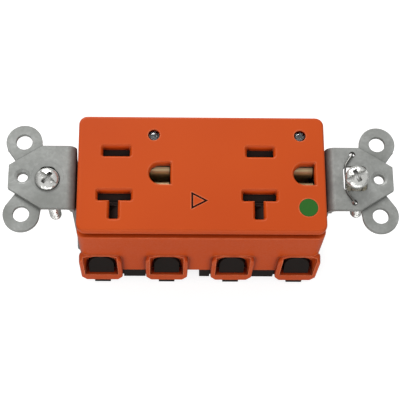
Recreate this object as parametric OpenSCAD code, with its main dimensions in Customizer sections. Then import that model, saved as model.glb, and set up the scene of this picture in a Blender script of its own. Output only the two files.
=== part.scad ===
// Decorator style duplex receptacle, 20 A 125 V, isolated ground, hospital grade.
// The face looks up (+Z) and the mounting strap runs along X. The origin is the
// centre of the four ear holes, on the plane where the ears meet the wall (Z = 0).

/* [Face] */
// Length of the face along the strap
face_l = 66.7; // [66.3:0.1:67.3]
// Width of the face across the strap
face_w = 33.2; // [32.8:0.1:35]
// Radius of the face's corners
face_corner_r = 2.3; // [1.5:0.1:3]
// Thickness of the face slab
slab_t = 2.4; // [2:0.1:2.8]
// Height of the face above the wall plane
face_rise = 5.4; // [5:0.1:6.5]
// Height of the groove under the face slab
groove_h = 2.2; // [1.5:0.1:2.6]
// Depth of the groove under the face slab
groove_d = 1.1; // [0.6:0.1:1.3]

/* [Outlets] */
// Distance between the two outlets
outlet_pitch = 38.9; // [38.7:0.1:39.1]
// Place of the blade slots from the middle of the face
outlet_shift = -3.6; // [-4:0.1:-3.2]
// Distance of each blade slot from the centre line
blade_offset = 6.35; // [6.2:0.05:6.5]
// Length of the live slot
hot_slot_l = 7.2; // [6.9:0.1:7.6]
// Width of the blade slots
slot_w = 2.4; // [2:0.1:2.5]
// Length of the bar of the T slot
tee_bar_l = 8.9; // [8.4:0.1:9.4]
// Place of the middle of the T slot's bar along X
tee_bar_shift = -0.35; // [-0.6:0.05:0]
// Place of the stem of the T slot along X
stem_shift = -0.5; // [-0.7:0.1:0]
// Distance of the stem's far end from the centre line
stem_reach = 12.75; // [12:0.05:12.9]
// Distance of the ground hole's middle from the blade slots
ground_shift = 11.75; // [11.3:0.05:11.9]
// Length of the ground hole
ground_l = 5.7; // [5.4:0.1:5.9]
// Width of the ground hole
ground_w = 6; // [5.4:0.1:6.2]

/* [Indicators and marks] */
// Diameter of the indicator holes
lamp_hole_d = 3.1; // [2.8:0.1:3.4]
// Distance between the two indicators
lamp_pitch = 39.7; // [39:0.1:40]
// Place of the indicators' middle from the middle of the face
lamp_shift = 6.9; // [6.5:0.1:7.2]
// Distance of the indicators from the centre line
lamp_y = 11.1; // [10.9:0.1:11.4]
// Diameter of the green dot
dot_d = 5; // [4:0.1:6]
// Length of the triangle mark
mark_l = 4.4; // [3.5:0.1:5.5]
// Width of the triangle mark
mark_w = 4.8; // [4:0.1:6]
// Width of the triangle's line
mark_line = 0.45; // [0.3:0.05:0.6]
// Place of the triangle's base along X
mark_x = -2.8; // [-3.5:0.1:-2]
// Place of the triangle's middle along Y
mark_y = -7.85; // [-9:0.05:-7]
// Place of the green dot from its outlet, along X
dot_shift = 12.6; // [12:0.1:13]
// Place of the green dot along Y
dot_y = -9.7; // [-10.5:0.1:-9]

/* [Housing] */
// How far the cover's long walls stand out beyond the face
skirt_out = 0.5; // [0.3:0.1:0.6]
// How far the cover's end walls stand out beyond the face
end_out = 0.1; // [0:0.1:0.5]
// Thickness of the cover's walls
skirt_t = 1.7; // [1.5:0.1:1.8]
// Height of the cover's walls
skirt_h = 27.9; // [27:0.1:29]
// Depth of the receptacle behind the wall plane
body_depth = 34.6; // [34.2:0.1:40]

/* [Snap loops] */
// Number of snap loops on each long side
loop_count = 4; // [4]
// Distance between neighbouring loops
loop_pitch = 18.6; // [18:0.1:18.8]
// Width of a loop
loop_w = 11.9; // [11.5:0.1:12.4]
// How far a loop stands out from the cover's wall
loop_out = 1.5; // [1.2:0.1:1.8]
// How far a loop hangs below the cover's wall
loop_hang = 5.1; // [4.6:0.1:5.5]
// Width of a catch on the base
catch_w = 7.1; // [6.6:0.1:7.4]

/* [Strap] */
// Width of the strap
strap_w = 18.2; // [17.6:0.1:18.6]
// Thickness of the strap
strap_t = 1.3; // [1:0.1:1.4]
// Width of the strap's legs, between its bends
leg_w = 14; // [12:0.1:16]
// Gap between the cover's end walls and the strap's legs
strap_gap = 0.6; // [0.2:0.1:0.8]
// Distance from the middle to the strap's tip
strap_reach = 52.2; // [52:0.1:52.6]
// Width of the strap at its tip
tip_w = 6.8; // [6.4:0.1:7.6]
// How far the ears are pressed down below the strap
ear_drop = 0.9; // [0.6:0.1:1]
// Distance between the ear holes along the strap
ear_pitch_x = 96.8; // [96.4:0.1:97]
// Distance between the ear holes across the strap
ear_pitch_y = 20.9; // [20.7:0.1:21.3]
// Diameter of the ear holes
ear_hole_d = 4.4; // [4:0.1:4.8]
// Outer radius of the ears
ear_r = 4.9; // [4.6:0.1:5.1]
// Distance between the wall plate screw holes
plate_pitch = 96.84; // [96.84]
// Diameter of the wall plate screw holes
plate_hole_d = 2.9; // [2.7:0.1:3.1]

/* [Mounting screws] */
// Distance between the mounting screws
screw_pitch = 83.34; // [83.34]
// Outer diameter of the screw thread
screw_d = 3.5; // [3.5]
// Diameter of the plain neck above the thread
screw_neck_d = 2.9; // [2.6:0.1:3.1]
// Length of the screw below its head
screw_l = 28.4; // [25:0.1:30.4]
// Diameter of the screw head
head_d = 6.4; // [6:0.1:6.6]
// Height of the screw head
head_h = 2.2; // [2:0.1:2.6]
// Distance from the screw's head down to its keeper ring
keeper_drop = 8; // [6:0.1:12]
// How far the right screw stands raised
right_lift = 2.4; // [0.6:0.1:3.4]
// How far the right screw leans outwards, in degrees
right_lean = 7.5; // [0:0.5:8]
// How far the right screw rests off the middle of its slot, along X
right_shift = 0.6; // [0:0.1:0.7]
// How far both loose screws rest off the slots' middle, along Y
screw_sag = 0.8; // [0:0.1:0.8]

/* [Wiring socket] */
// Length of the socket in the back
socket_l = 22; // [21:0.1:23]
// Width of the socket in the back
socket_w = 15.6; // [15.2:0.1:16]
// Depth of the socket
socket_d = 9.4; // [8:0.1:10]
// Distance between the terminal blades
terminal_pitch = 5.6; // [5.4:0.1:5.8]
// Width of a terminal blade
terminal_w = 6; // [5:0.1:6.4]

/* [Shutters] */
// Travel of the shutter that closes both blade slots
shutter_travel = 2.9; // [2.7:0.05:3]
// Travel of the gate that closes the stem of the T slot
gate_travel = 2.7; // [2.6:0.05:2.8]
// Thickness of the shutter and the gate
shutter_t = 3.6; // [3:0.1:3.7]

/* [Hidden] */
$fn = 64;
eps = 0.01;

// Clearance between fixed parts that nest, and between parts that slide
fit_gap = 0.15;
slide_gap = 0.15;

// Sides: -1 is the left outlet or end, 1 the right one
LEFT = -1;
RIGHT = 1;

// Heights, from the face down
face_z = face_rise;
slab_z = face_z - slab_t;
skirt_top_z = slab_z - groove_h;
skirt_end_z = skirt_top_z - skirt_h;
back_z = -body_depth;
ledge_t = 1.2;
ledge_z = skirt_top_z - ledge_t;
rim_z = ledge_z - fit_gap;

// Outlines of the cover
skirt_l = face_l + 2 * end_out;
skirt_w = face_w + 2 * skirt_out;
inner_l = skirt_l - 2 * skirt_t;
inner_w = skirt_w - 2 * skirt_t;
neck_t = 1.3;
neck_l = face_l - 2 * groove_d;
neck_w = face_w - 2 * groove_d;
inlay_t = 0.25;

// Loops and catches
loop_len = 20.1;
loop_end_z = skirt_end_z - loop_hang;
loop_top_z = loop_end_z + loop_len;
loop_t = 2.4;
loop_face_y = skirt_w / 2 + loop_out;
loop_back_y = loop_face_y - loop_t;
loop_bevel = 1.3;
loop_shoulder = 3;
bar_h = 5;
catch_h = 7.4;
catch_z = loop_end_z + bar_h + 0.2;
catch_top_z = catch_z + catch_h;
catch_out = 0.7;
frame_window_w = loop_w - 2;

// Base
base_l = inner_l - 2 * fit_gap;
base_w = inner_w - 2 * fit_gap;
flange_z = skirt_end_z - fit_gap;
flange_l = skirt_l - 0.2;
flange_w = skirt_w - 0.2;
flange_bevel = 1;
loop_pocket_w = loop_w + 0.4;
loop_pocket_y = loop_back_y - 0.2;
foot_w = 4.6;
notch_x0 = -3.2;
notch_x1 = 0.2;
notch_d = 3;
base_wall = 1.1;
rib_t = 0.65;

// Strap: bends, legs and the back run
bend_in = 1.2;
bend_out = bend_in + strap_t;
strap_top_z = ear_drop + strap_t;
leg_in_x = skirt_l / 2 + strap_gap;
leg_out_x = leg_in_x + strap_t;
strap_back_z = back_z + 0.1;
waist_step = (strap_w - leg_w) / 2;
waist_top_z = strap_top_z - bend_out - 0.5;
waist_end_z = strap_back_z + bend_out + 1.5;
slant_x = 43.2;
ear_notch_x = 50;
tip_slope = (strap_w / 2 - tip_w / 2) / (strap_reach - slant_x);
screw_x = screw_pitch / 2;
right_slot = [screw_d + 2.9, screw_d + 3.7];
right_slot_shift = 0.15;
left_slot = [screw_d + 1.1, screw_d + 2.3];
slot_corner_r = 1.2;
seat_r = head_d / 2 + screw_sag + 0.3;
seat_d = 0.5;
seat_wall = 0.6;
window_l = socket_l + 5;
socket_window_w = socket_w + 3.8;
rail_w = 3.2;
frame_l = window_l + 8;
frame_w = socket_window_w + 2 * rail_w;
rivet_x = 25;
rivet_r = 1.2;
rivet_head_r = 2.3;

// Clip wire on the right end
clip_d = 0.7;
clip_hole_d = 1.6;
clip_hook = [screw_x - 0.35, 7];
clip_bow_x = screw_x - screw_d / 2 - clip_d / 2 - 0.25;
clip_dip_y = right_slot[1] / 2 - clip_d / 2 - 0.1;

// Mounting screws
left_seat_z = strap_top_z - seat_d;
keeper_d = 6.2;
keeper_t = 1.6;
keeper_fit = 0.05;
screw_tip_h = 1;
screw_neck_l = keeper_drop + keeper_t + 0.2;

// Shutter parts
frame_floor_t = 1.2;
shutter_top_z = slab_z - slide_gap;
shutter_z = shutter_top_z - shutter_t;
floor_z = shutter_z - slide_gap;
frame_z = floor_z - frame_floor_t;
frame_wall = 1;
cover_margin = 0.45;
shutter_x0 = tee_bar_shift - tee_bar_l / 2 - cover_margin;
shutter_x1 = tee_bar_shift + tee_bar_l / 2 + cover_margin;
block_w = slot_w + 2 * cover_margin;
shutter_y0 = -blade_offset - block_w / 2;
shutter_y1 = blade_offset + block_w / 2;
gate_y0 = -stem_reach - cover_margin;
gate_y1 = shutter_y0 - slide_gap;
gate_w = slot_w + 0.4;
gate_x0 = stem_shift - gate_w / 2;
frame_in_x0 = shutter_x0 - slide_gap;
frame_in_x1 = shutter_x1 + 1.2;
frame_in_y0 = gate_y0 - slide_gap;
frame_in_y1 = shutter_y1 + shutter_travel + slide_gap;
spring_z = shutter_z + shutter_t / 2;
spring_d = 2.2;
spring_wire = 0.3;
spring_pocket_y = 0.6;
post_l = 1.2;

// Contacts: leaves, webs and bars
leaf_t = 0.7;
leaf_gap = 1.4;
leaf_top_z = frame_z - 1;
bar_t = 0.8;
bar_z = frame_z - 15.5;
web_z = bar_z + bar_t;
leaf_l = 7.6;
ground_gap = 4.4;
ground_leaf_l = 5.2;
ground_top_z = slab_z - 0.4;
clip_t = 0.4;
hot_bar_w = 4.4;
ground_bar_w = 5.6;
channel_z = bar_z - 0.4;
hot_channel = [blade_offset - 2.4, blade_offset + 2.4];
ground_channel = [-3.5, 3.5];
neutral_channel = [-stem_reach - 0.8, -blade_offset + 2.2];
lamp_channel = [hot_channel[1] + rib_t, base_w / 2 - base_wall];
bar_end = 4.4;

// Terminal blades in the socket
terminal_t = 0.9;
terminal_end_z = back_z + 2;
tenon_w = 2.2;
socket_z = back_z + socket_d;
socket_corner_r = 3;

// Indicator lamps
board_z = frame_z - 6.5;
board_t = 1.2;
board_top_z = board_z + board_t;
lamp_d = 3;
lamp_body_h = 3.4;
lens_d = lamp_hole_d;
lens_recess = 0.7;
resistor_d = 1.7;
resistor_l = 4.6;
lead_d = 0.9;
pad_l = 1.2;
lead_cross_z = board_top_z + 3;
hot_lead_x = 4;
neutral_lead_x = -2;
lead_notch_w = 1.5;
board_x0 = -lamp_pitch / 2 + lamp_shift - 4;
board_x1 = lamp_pitch / 2 + lamp_shift + 2.6;

function outlet_x(side) = side * outlet_pitch / 2 + outlet_shift;
dot_x = outlet_x(RIGHT) + dot_shift;
function lamp_x(side) = side * lamp_pitch / 2 + lamp_shift;
function loop_x(i) = (i - (loop_count - 1) / 2) * loop_pitch;

ORANGE = [0.79, 0.31, 0.12];
BLACK = [0.17, 0.18, 0.18];
STEEL = [0.66, 0.67, 0.66];
BRIGHT = [0.78, 0.78, 0.76];
BRASS = [0.72, 0.6, 0.32];

// ---- Shared shapes ----

// Box from one corner to the opposite one
module span(a, b) {
  translate(a) cube(b - a);
}

module rounded_rect(l, w, r) {
  square([l - 2 * r, w], center = true);
  square([l, w - 2 * r], center = true);
  for (sx = [-1, 1], sy = [-1, 1])
    translate([sx * (l / 2 - r), sy * (w / 2 - r)]) circle(r);
}

module rounded_plate(l, w, z0, z1, r) {
  translate([0, 0, z0]) linear_extrude(z1 - z0) rounded_rect(l, w, r);
}

// Prism whose outline is drawn in X and Z, running along Y
module prism_xz(y0, y1) {
  translate([0, y1, 0]) rotate([90, 0, 0]) linear_extrude(y1 - y0) children();
}

// Prism whose outline is drawn in Y and Z, running along X
module prism_yz(x0, x1) {
  translate([x0, 0, 0]) rotate([90, 0, 90]) linear_extrude(x1 - x0) children();
}

// ---- Wire, swept along a line of points ----

function unit(v) = v / norm(v);

function tangents(p) = [for (i = [0:len(p) - 1]) unit(p[min(i + 1, len(p) - 1)] - p[max(i - 1, 0)])];

// Direction v with its part along t taken away
function across(v, t) = unit(v - (v * t) * t);

// One direction across the wire at each point, carried along so that it never twists
function carried(t) = [for (i = 0, v = across(abs(t[0][2]) < 0.9 ? [0, 0, 1] : [1, 0, 0], t[0]);
                            i < len(t);
                            i = i + 1, v = i < len(t) ? across(v, t[i]) : v) v];

// The same line with each corner rounded over the distance r
function bent(p, r, n = 4) = concat([p[0]], [for (i = [1:len(p) - 2], k = [0:n])
  let (a = p[i] + unit(p[i - 1] - p[i]) * r, b = p[i] + unit(p[i + 1] - p[i]) * r, s = k / n)
  (1 - s) * (1 - s) * a + 2 * s * (1 - s) * p[i] + s * s * b], [p[len(p) - 1]]);

module tube(points, d, sides = 8) {
  t = tangents(points);
  n = carried(t);
  last = len(points) - 1;
  rings = [for (i = [0:last], k = [0:sides - 1])
    points[i] + d / 2 * (cos(360 * k / sides) * n[i] + sin(360 * k / sides) * cross(t[i], n[i]))];
  walls = [for (i = [0:last - 1], k = [0:sides - 1])
    let (m = (k + 1) % sides)
    [i * sides + k, (i + 1) * sides + k, (i + 1) * sides + m, i * sides + m]];
  first_end = [[for (k = [0:sides - 1]) k]];
  last_end = [[for (k = [sides - 1:-1:0]) last * sides + k]];
  polyhedron(rings, concat(walls, first_end, last_end), convexity = 8);
}

// Coil spring along Z from z = 0 to z = l
module coil_spring(l, d, wire, turns) {
  per_turn = 14;
  steps = turns * per_turn;
  r = (d - wire) / 2;
  tube([for (i = [0:steps])
    [r * cos(360 * i / per_turn), r * sin(360 * i / per_turn), wire / 2 + (l - wire) * i / steps]], wire, 6);
}

// ---- Cover and base ----

// Ground hole, flat towards +X and arched towards -X
module ground_outline(extra = 0) {
  r = ground_w / 2 + extra;
  flat_x = ground_l / 2 + extra;
  arch_x = -ground_l / 2 - extra + r;
  intersection() {
    union() {
      translate([arch_x, 0]) circle(r);
      translate([arch_x, -r]) square([flat_x - arch_x, 2 * r]);
    }
    translate([-r * 2, -r]) square([r * 2 + flat_x, 2 * r]);
  }
}

// Outlines of the blade slots, centred on the outlet
module slot_outlines(extra = 0) {
  translate([0, blade_offset]) square([hot_slot_l + extra, slot_w + extra], center = true);
  translate([tee_bar_shift, -blade_offset]) square([tee_bar_l + extra, slot_w + extra], center = true);
  translate([stem_shift - (slot_w + extra) / 2, -stem_reach - extra / 2])
    square([slot_w + extra, stem_reach - blade_offset + extra]);
}

module face_cuts() {
  for (side = [LEFT, RIGHT]) {
    translate([outlet_x(side), 0, slab_z - eps]) linear_extrude(slab_t + 2 * eps) {
      slot_outlines();
      translate([ground_shift, 0]) ground_outline();
    }
    translate([lamp_x(side), lamp_y, slab_z - eps]) cylinder(h = slab_t + 2 * eps, d = lamp_hole_d);
  }
  translate([0, 0, face_z - inlay_t]) linear_extrude(inlay_t + eps) mark_outline();
  translate([dot_x, dot_y, face_z - inlay_t]) cylinder(h = inlay_t + eps, d = dot_d);
}

module mark_outline() {
  tip = mark_x + mark_l;
  half = mark_w / 2;
  // The inner triangle keeps the line's width along all three sides
  side_len = sqrt(mark_l * mark_l + half * half);
  inner_tip = tip - mark_line * side_len / half;
  inner_x = mark_x + mark_line;
  inner_half = (inner_tip - inner_x) * half / mark_l;
  difference() {
    polygon([[mark_x, mark_y - half], [tip, mark_y], [mark_x, mark_y + half]]);
    polygon([[inner_x, mark_y - inner_half], [inner_tip, mark_y], [inner_x, mark_y + inner_half]]);
  }
}

// Body of one snap loop on the -Y side, before its window is cut
module loop_body() {
  half = loop_w / 2;
  top_half = half - loop_shoulder / 4;
  low_half = half - loop_bevel;
  shoulder_z = loop_top_z - loop_shoulder;
  intersection() {
    prism_xz(-loop_face_y, -loop_back_y + 1)
      polygon([[-top_half, loop_top_z], [top_half, loop_top_z], [half, shoulder_z],
               [half, loop_end_z + 2 * loop_bevel], [low_half, loop_end_z],
               [-low_half, loop_end_z], [-half, loop_end_z + 2 * loop_bevel], [-half, shoulder_z]]);
    prism_yz(-half, half)
      polygon([[-skirt_w / 2, loop_top_z - loop_shoulder / 3], [-loop_face_y, shoulder_z], [-loop_face_y, loop_end_z],
               [-loop_back_y, loop_end_z], [-loop_back_y, loop_top_z]]);
  }
}

// Outline of a catch, domed towards the face and flat below
module catch_outline(extra = 0) {
  r = catch_w / 2 + extra;
  translate([0, catch_top_z + extra - r]) circle(r);
  translate([-r, catch_z]) square([2 * r, catch_h + extra - r]);
}

// Window of one loop: a close passage for the catch and a sloped pocket above it
module loop_window() {
  window_gap = 0.25;
  low_z = catch_z - 0.2;
  prism_xz(-loop_face_y - 1, -inner_w / 2 + 1) {
    catch_outline(window_gap);
    translate([-catch_w / 2 - window_gap, low_z]) square([catch_w + 2 * window_gap, 1]);
  }
  prism_yz(-frame_window_w / 2, frame_window_w / 2)
    polygon([[-inner_w / 2 - 0.3, catch_top_z + 0.5], [-skirt_w / 2 - 0.05, loop_top_z - 0.5],
             [-loop_face_y - 1, loop_top_z - 0.5], [-loop_face_y - 1, low_z],
             [-loop_face_y + 0.9, low_z], [-skirt_w / 2, low_z + 1]]);
}

module on_one_long_side() {
  for (i = [0:loop_count - 1]) translate([loop_x(i), 0, 0]) children();
}

module on_both_long_sides() {
  for (turn = [0, 180]) rotate([0, 0, turn]) on_one_long_side() children();
}

module front_cover() {
  color(ORANGE) difference() {
    union() {
      rounded_plate(face_l, face_w, slab_z, face_z, face_corner_r);
      rounded_plate(neck_l, neck_w, skirt_top_z - eps, slab_z + eps, face_corner_r - 0.5);
      rounded_plate(skirt_l, skirt_w, skirt_end_z, skirt_top_z, face_corner_r);
      on_both_long_sides() loop_body();
    }
    rounded_plate(inner_l, inner_w, loop_end_z - 1, ledge_z, 1);
    rounded_plate(neck_l - 2 * neck_t, neck_w - 2 * neck_t, ledge_z - eps, slab_z, 1);
    on_both_long_sides() loop_window();
    face_cuts();
  }
}

// Catch on the base's side, a wedge that grows towards its flat lower edge
module base_catch() {
  intersection() {
    prism_xz(-loop_face_y, -base_w / 2 + 0.5) catch_outline();
    prism_yz(-catch_w / 2, catch_w / 2)
      polygon([[-base_w / 2 - 0.6, catch_top_z], [-loop_face_y + catch_out, catch_z],
               [-base_w / 2 + 0.5, catch_z], [-base_w / 2 + 0.5, catch_top_z]]);
  }
}

// Foot that reaches out under a loop, so that the loop can't be pushed off
module base_foot() {
  prism_yz(-foot_w / 2, foot_w / 2)
    polygon([[-loop_pocket_y + 1, back_z], [-loop_face_y + 0.6, back_z], [-loop_face_y + 0.1, back_z + 0.5],
             [-loop_face_y + 0.1, loop_end_z - 0.2], [-loop_pocket_y + 1, loop_end_z - 0.2]]);
}

// Room for one loop in the base's flange
module loop_pocket() {
  span([-loop_pocket_w / 2, -skirt_w, back_z - 1], [loop_pocket_w / 2, -loop_pocket_y, flange_z + 1]);
}

// Flange below the cover's walls, with bevelled lower edges
module base_flange() {
  difference() {
    rounded_plate(flange_l, flange_w, back_z, flange_z, 2);
    for (turn = [0, 180]) rotate([0, 0, turn]) {
      prism_yz(-skirt_l, skirt_l)
        polygon([[-flange_w / 2 - 1, back_z - 1], [-flange_w / 2 + flange_bevel, back_z - eps],
                 [-flange_w / 2 - eps, back_z + flange_bevel], [-flange_w / 2 - 1, back_z + flange_bevel]]);
      on_one_long_side() loop_pocket();
    }
  }
}

// Straight channel for one contact bar, open upwards
module channel(ys, z0) {
  span([-base_l / 2 + base_wall, ys[0], z0], [base_l / 2 - base_wall, ys[1], rim_z + 1]);
}

// Room for the strap's back run, around the socket's collar
module strap_channel() {
  depth_z = strap_back_z + strap_t + 0.05;
  difference() {
    union() {
      span([-flange_l, -strap_w / 2 - fit_gap, back_z - 1], [flange_l, strap_w / 2 + fit_gap, depth_z]);
      rounded_plate(frame_l + 2 * fit_gap, frame_w + 2 * fit_gap, back_z - 1, depth_z, 2);
    }
    rounded_plate(window_l - 2 * fit_gap, socket_window_w - 2 * fit_gap, back_z - 2, depth_z + 1, 2);
  }
  for (side = [LEFT, RIGHT])
    translate([side * (leg_in_x - bend_in - 0.3), 0, 0])
      span([side < 0 ? -5 : 0, -strap_w / 2 - fit_gap, back_z - 1],
           [side < 0 ? 0 : 5, strap_w / 2 + fit_gap, back_z + bend_out + 0.4]);
}

module base_housing() {
  terminal_gap = 0.1;
  color(BLACK) difference() {
    union() {
      rounded_plate(base_l, base_w, flange_z - eps, rim_z, 0.9);
      base_flange();
      on_both_long_sides() base_catch();
      on_both_long_sides() base_foot();
    }
    // Room for the shutter frames, above the ribs
    span([-base_l / 2 + base_wall, -base_w / 2 + 0.9, frame_z], [base_l / 2 - base_wall, base_w / 2 - 0.9, rim_z + 1]);
    channel(hot_channel, channel_z);
    channel(ground_channel, channel_z);
    channel(neutral_channel, channel_z);
    channel(lamp_channel, board_z - 1.6);
    // Notches that let the lamp leads cross the ribs
    span([hot_lead_x - lead_notch_w / 2, hot_channel[1] - 1, board_top_z],
         [hot_lead_x + lead_notch_w / 2, lamp_channel[0] + 1, rim_z]);
    span([neutral_lead_x - lead_notch_w / 2, neutral_channel[1] - 1, lead_cross_z - lead_d],
         [neutral_lead_x + lead_notch_w / 2, lamp_channel[0] + 1, rim_z]);
    // Notch in the middle of each long side of the flange
    for (turn = [0, 180]) rotate([0, 0, turn])
      span([notch_x0, -flange_w / 2 - 1, back_z - 1], [notch_x1, -flange_w / 2 + notch_d, flange_z]);
    rounded_plate(socket_l, socket_w, back_z - 1, socket_z, socket_corner_r);
    for (y = [-1, 0, 1] * terminal_pitch)
      span([-terminal_w / 2 - terminal_gap, y - terminal_t / 2 - terminal_gap, socket_z - 1],
           [terminal_w / 2 + terminal_gap, y + terminal_t / 2 + terminal_gap, channel_z + 1]);
    strap_channel();
    for (side = [LEFT, RIGHT])
      translate([side * rivet_x, 0, back_z]) cylinder(h = 7.5, r = rivet_r, $fn = 32);
  }
  // Pads that carry the lamp circuit board
  color(BLACK) for (x = [board_x0 + 0.1, (board_x0 + board_x1) / 2, board_x1 - pad_l - 0.1])
    span([x, lamp_channel[0] - 0.2, board_z - 1.7], [x + pad_l, lamp_channel[1] + 0.2, board_z]);
}

// ---- Strap ----

// Quarter of a bent sheet, seen from the side
module bend_outline(start) {
  intersection() {
    difference() {
      circle(bend_out);
      circle(bend_in);
    }
    rotate(start) square(bend_out + 1);
  }
}

// One half of the strap seen from the side, in X and Z
module strap_side() {
  translate([leg_in_x + bend_out - eps, ear_drop]) square([strap_reach - leg_in_x - bend_out + eps, strap_t]);
  translate([leg_in_x + bend_out, strap_top_z - bend_out]) bend_outline(90);
  translate([leg_in_x, strap_back_z + bend_out - eps])
    square([strap_t, strap_top_z - strap_back_z - 2 * bend_out + 2 * eps]);
  translate([leg_out_x - bend_out, strap_back_z + bend_out]) bend_outline(-90);
  translate([-eps, strap_back_z]) square([leg_out_x - bend_out + 2 * eps, strap_t]);
}

// What is cut away beside the strap's slanted tip, on the +Y side of the right end
module tip_cut() {
  far = 6;
  translate([0, 0, ear_drop - 1]) linear_extrude(strap_t + 2)
    polygon([[slant_x, strap_w / 2], [strap_reach + far, strap_w / 2 - tip_slope * (strap_reach + far - slant_x)],
             [strap_reach + far, strap_w], [slant_x, strap_w]]);
}

// What is cut away beside the strap's narrower leg, on the +Y side of the right end
module waist_cut() {
  past = 1;
  prism_yz(leg_in_x - past, leg_out_x + past)
    polygon([[strap_w / 2 + past, waist_top_z + past], [leg_w / 2, waist_top_z - waist_step],
             [leg_w / 2, waist_end_z + waist_step], [strap_w / 2 + past, waist_end_z - past]]);
}

// Ear on the +Y side of the right end, pressed down from the strap
module ear() {
  cx = ear_pitch_x / 2;
  cy = ear_pitch_y / 2;
  join = 0.5;
  notch_y = strap_w / 2 - tip_slope * (ear_notch_x - slant_x);
  linear_extrude(strap_t) {
    translate([cx, cy]) circle(ear_r);
    polygon([[slant_x, strap_w / 2 - join], [cx - ear_r, cy], [cx, cy + eps], [cx + ear_r * 0.87, cy - ear_r * 0.5],
             [ear_notch_x + 0.2, notch_y - join / 2], [ear_notch_x - 0.6, notch_y - join / 2]]);
  }
}

// One end of the strap, on the +X side, before its screw slot is cut
module strap_end() {
  difference() {
    union() {
      difference() {
        prism_xz(-strap_w / 2, strap_w / 2) strap_side();
        for (m = [0, 1]) mirror([0, m, 0]) tip_cut();
        for (m = [0, 1]) mirror([0, m, 0]) waist_cut();
      }
      for (m = [0, 1]) mirror([0, m, 0]) ear();
      translate([plate_pitch / 2, 0, ear_drop - 0.9]) cylinder(h = 1, r = 2.3);
    }
    for (m = [0, 1]) mirror([0, m, 0])
      translate([ear_pitch_x / 2, ear_pitch_y / 2, -1]) cylinder(h = strap_t + 2, d = ear_hole_d);
    translate([plate_pitch / 2, 0, -2]) cylinder(h = strap_t + 5, d = plate_hole_d);
    translate([plate_pitch / 2, 0, strap_top_z - 0.45]) cylinder(h = 0.5, r1 = plate_hole_d / 2, r2 = 2.3);
  }
}

// Slot for a mounting screw, right through the strap
module screw_slot(x, size) {
  translate([x, 0, -1]) linear_extrude(strap_t + 4) rounded_rect(size[0], size[1], slot_corner_r);
}

module mounting_strap() {
  color(STEEL) difference() {
    union() {
      strap_end();
      mirror([1, 0, 0]) strap_end();
      rounded_plate(frame_l, frame_w, strap_back_z, strap_back_z + strap_t, 2);
      // Underside of the pressed seat of the left screw
      translate([-screw_x, 0, ear_drop - seat_d]) cylinder(h = seat_d + eps, r = seat_r + seat_wall);
    }
    screw_slot(-screw_x, left_slot);
    screw_slot(screw_x + right_slot_shift, right_slot);
    translate([-screw_x, 0, left_seat_z]) cylinder(h = 1, r = seat_r);
    rounded_plate(window_l, socket_window_w, strap_back_z - 1, strap_back_z + strap_t + 1, 2);
    for (side = [LEFT, RIGHT])
      translate([side * rivet_x, 0, strap_back_z - eps]) {
        cylinder(h = strap_t + 1, r = rivet_r, $fn = 32);
        cylinder(h = rivet_head_r - rivet_r, r1 = rivet_head_r, r2 = rivet_r, $fn = 48);
      }
    for (m = [0, 1]) mirror([0, m, 0])
      translate([clip_hook[0], clip_hook[1], -1]) cylinder(h = strap_t + 4, d = clip_hole_d, $fn = 32);
  }
}

module strap_rivets() {
  color(BRIGHT) for (side = [LEFT, RIGHT])
    translate([side * rivet_x, 0, strap_back_z]) {
      cylinder(h = 7, r = rivet_r - 0.02, $fn = 32);
      cylinder(h = rivet_head_r - rivet_r, r1 = rivet_head_r - 0.02, r2 = rivet_r - 0.02, $fn = 48);
    }
}

// Spring wire that grounds the right screw: it lies on the strap, dips into the
// slot beside the screw and ends in two hooks
module ground_clip_wire() {
  on_z = strap_top_z + clip_d / 2 + 0.08;
  in_z = ear_drop + clip_d / 2 + 0.1;
  under_z = ear_drop - clip_d / 2 - 0.1;
  half = [[clip_hook[0] + 1.6, clip_hook[1], under_z], [clip_hook[0], clip_hook[1], under_z],
          [clip_hook[0], clip_hook[1], on_z], [clip_bow_x, clip_dip_y + 0.9, on_z],
          [clip_bow_x - 0.1, clip_dip_y, on_z], [clip_bow_x - 0.1, clip_dip_y - 0.7, in_z], [clip_bow_x, 0, in_z]];
  color(BRIGHT) for (m = [0, 1]) mirror([0, m, 0]) tube(bent(half, 0.4), clip_d);
}

// ---- Mounting screws ----

// Combination head with one long slot and a cross recess; the head sits on z = 0
module mounting_screw() {
  slot_d = 1.1;
  slot_t = 1;
  flank_h = 1;
  dome_r = (pow(head_d / 2, 2) + pow(head_h - flank_h, 2)) / (2 * (head_h - flank_h));
  color(BRIGHT) difference() {
    union() {
      cylinder(h = flank_h, d = head_d);
      intersection() {
        translate([0, 0, head_h - dome_r]) sphere(r = dome_r);
        translate([0, 0, flank_h - eps]) cylinder(h = head_h, d = head_d);
      }
      translate([0, 0, -screw_neck_l]) cylinder(h = screw_neck_l + eps, d = screw_neck_d);
      translate([0, 0, -screw_l + screw_tip_h]) cylinder(h = screw_l - screw_tip_h - screw_neck_l, d = screw_d);
      translate([0, 0, -screw_l]) cylinder(h = screw_tip_h, d1 = screw_d - 1.2, d2 = screw_d);
    }
    translate([0, 0, head_h - slot_d / 2]) cube([head_d + 1, slot_t, slot_d + eps], center = true);
    translate([0, 0, head_h - slot_d / 2]) cube([slot_t, head_d * 0.6, slot_d + eps], center = true);
  }
}

// Nylon ring that grips the screw below the strap, so that the screw can't fall out
module screw_keeper() {
  color([0.86, 0.85, 0.8]) translate([0, 0, -keeper_drop - keeper_t]) difference() {
    cylinder(h = keeper_t, d = keeper_d);
    translate([0, 0, -1]) cylinder(h = keeper_t + 2, r = screw_neck_d / 2 + keeper_fit);
  }
}

// Where each screw's head rests: seated on the left, raised and leaning on the right
module at_left_screw() {
  translate([-screw_x, -screw_sag, left_seat_z + eps]) children();
}

module at_right_screw() {
  translate([screw_x + right_shift, -screw_sag, strap_top_z])
    rotate([0, -right_lean, 0]) translate([0, 0, right_lift]) children();
}

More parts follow.
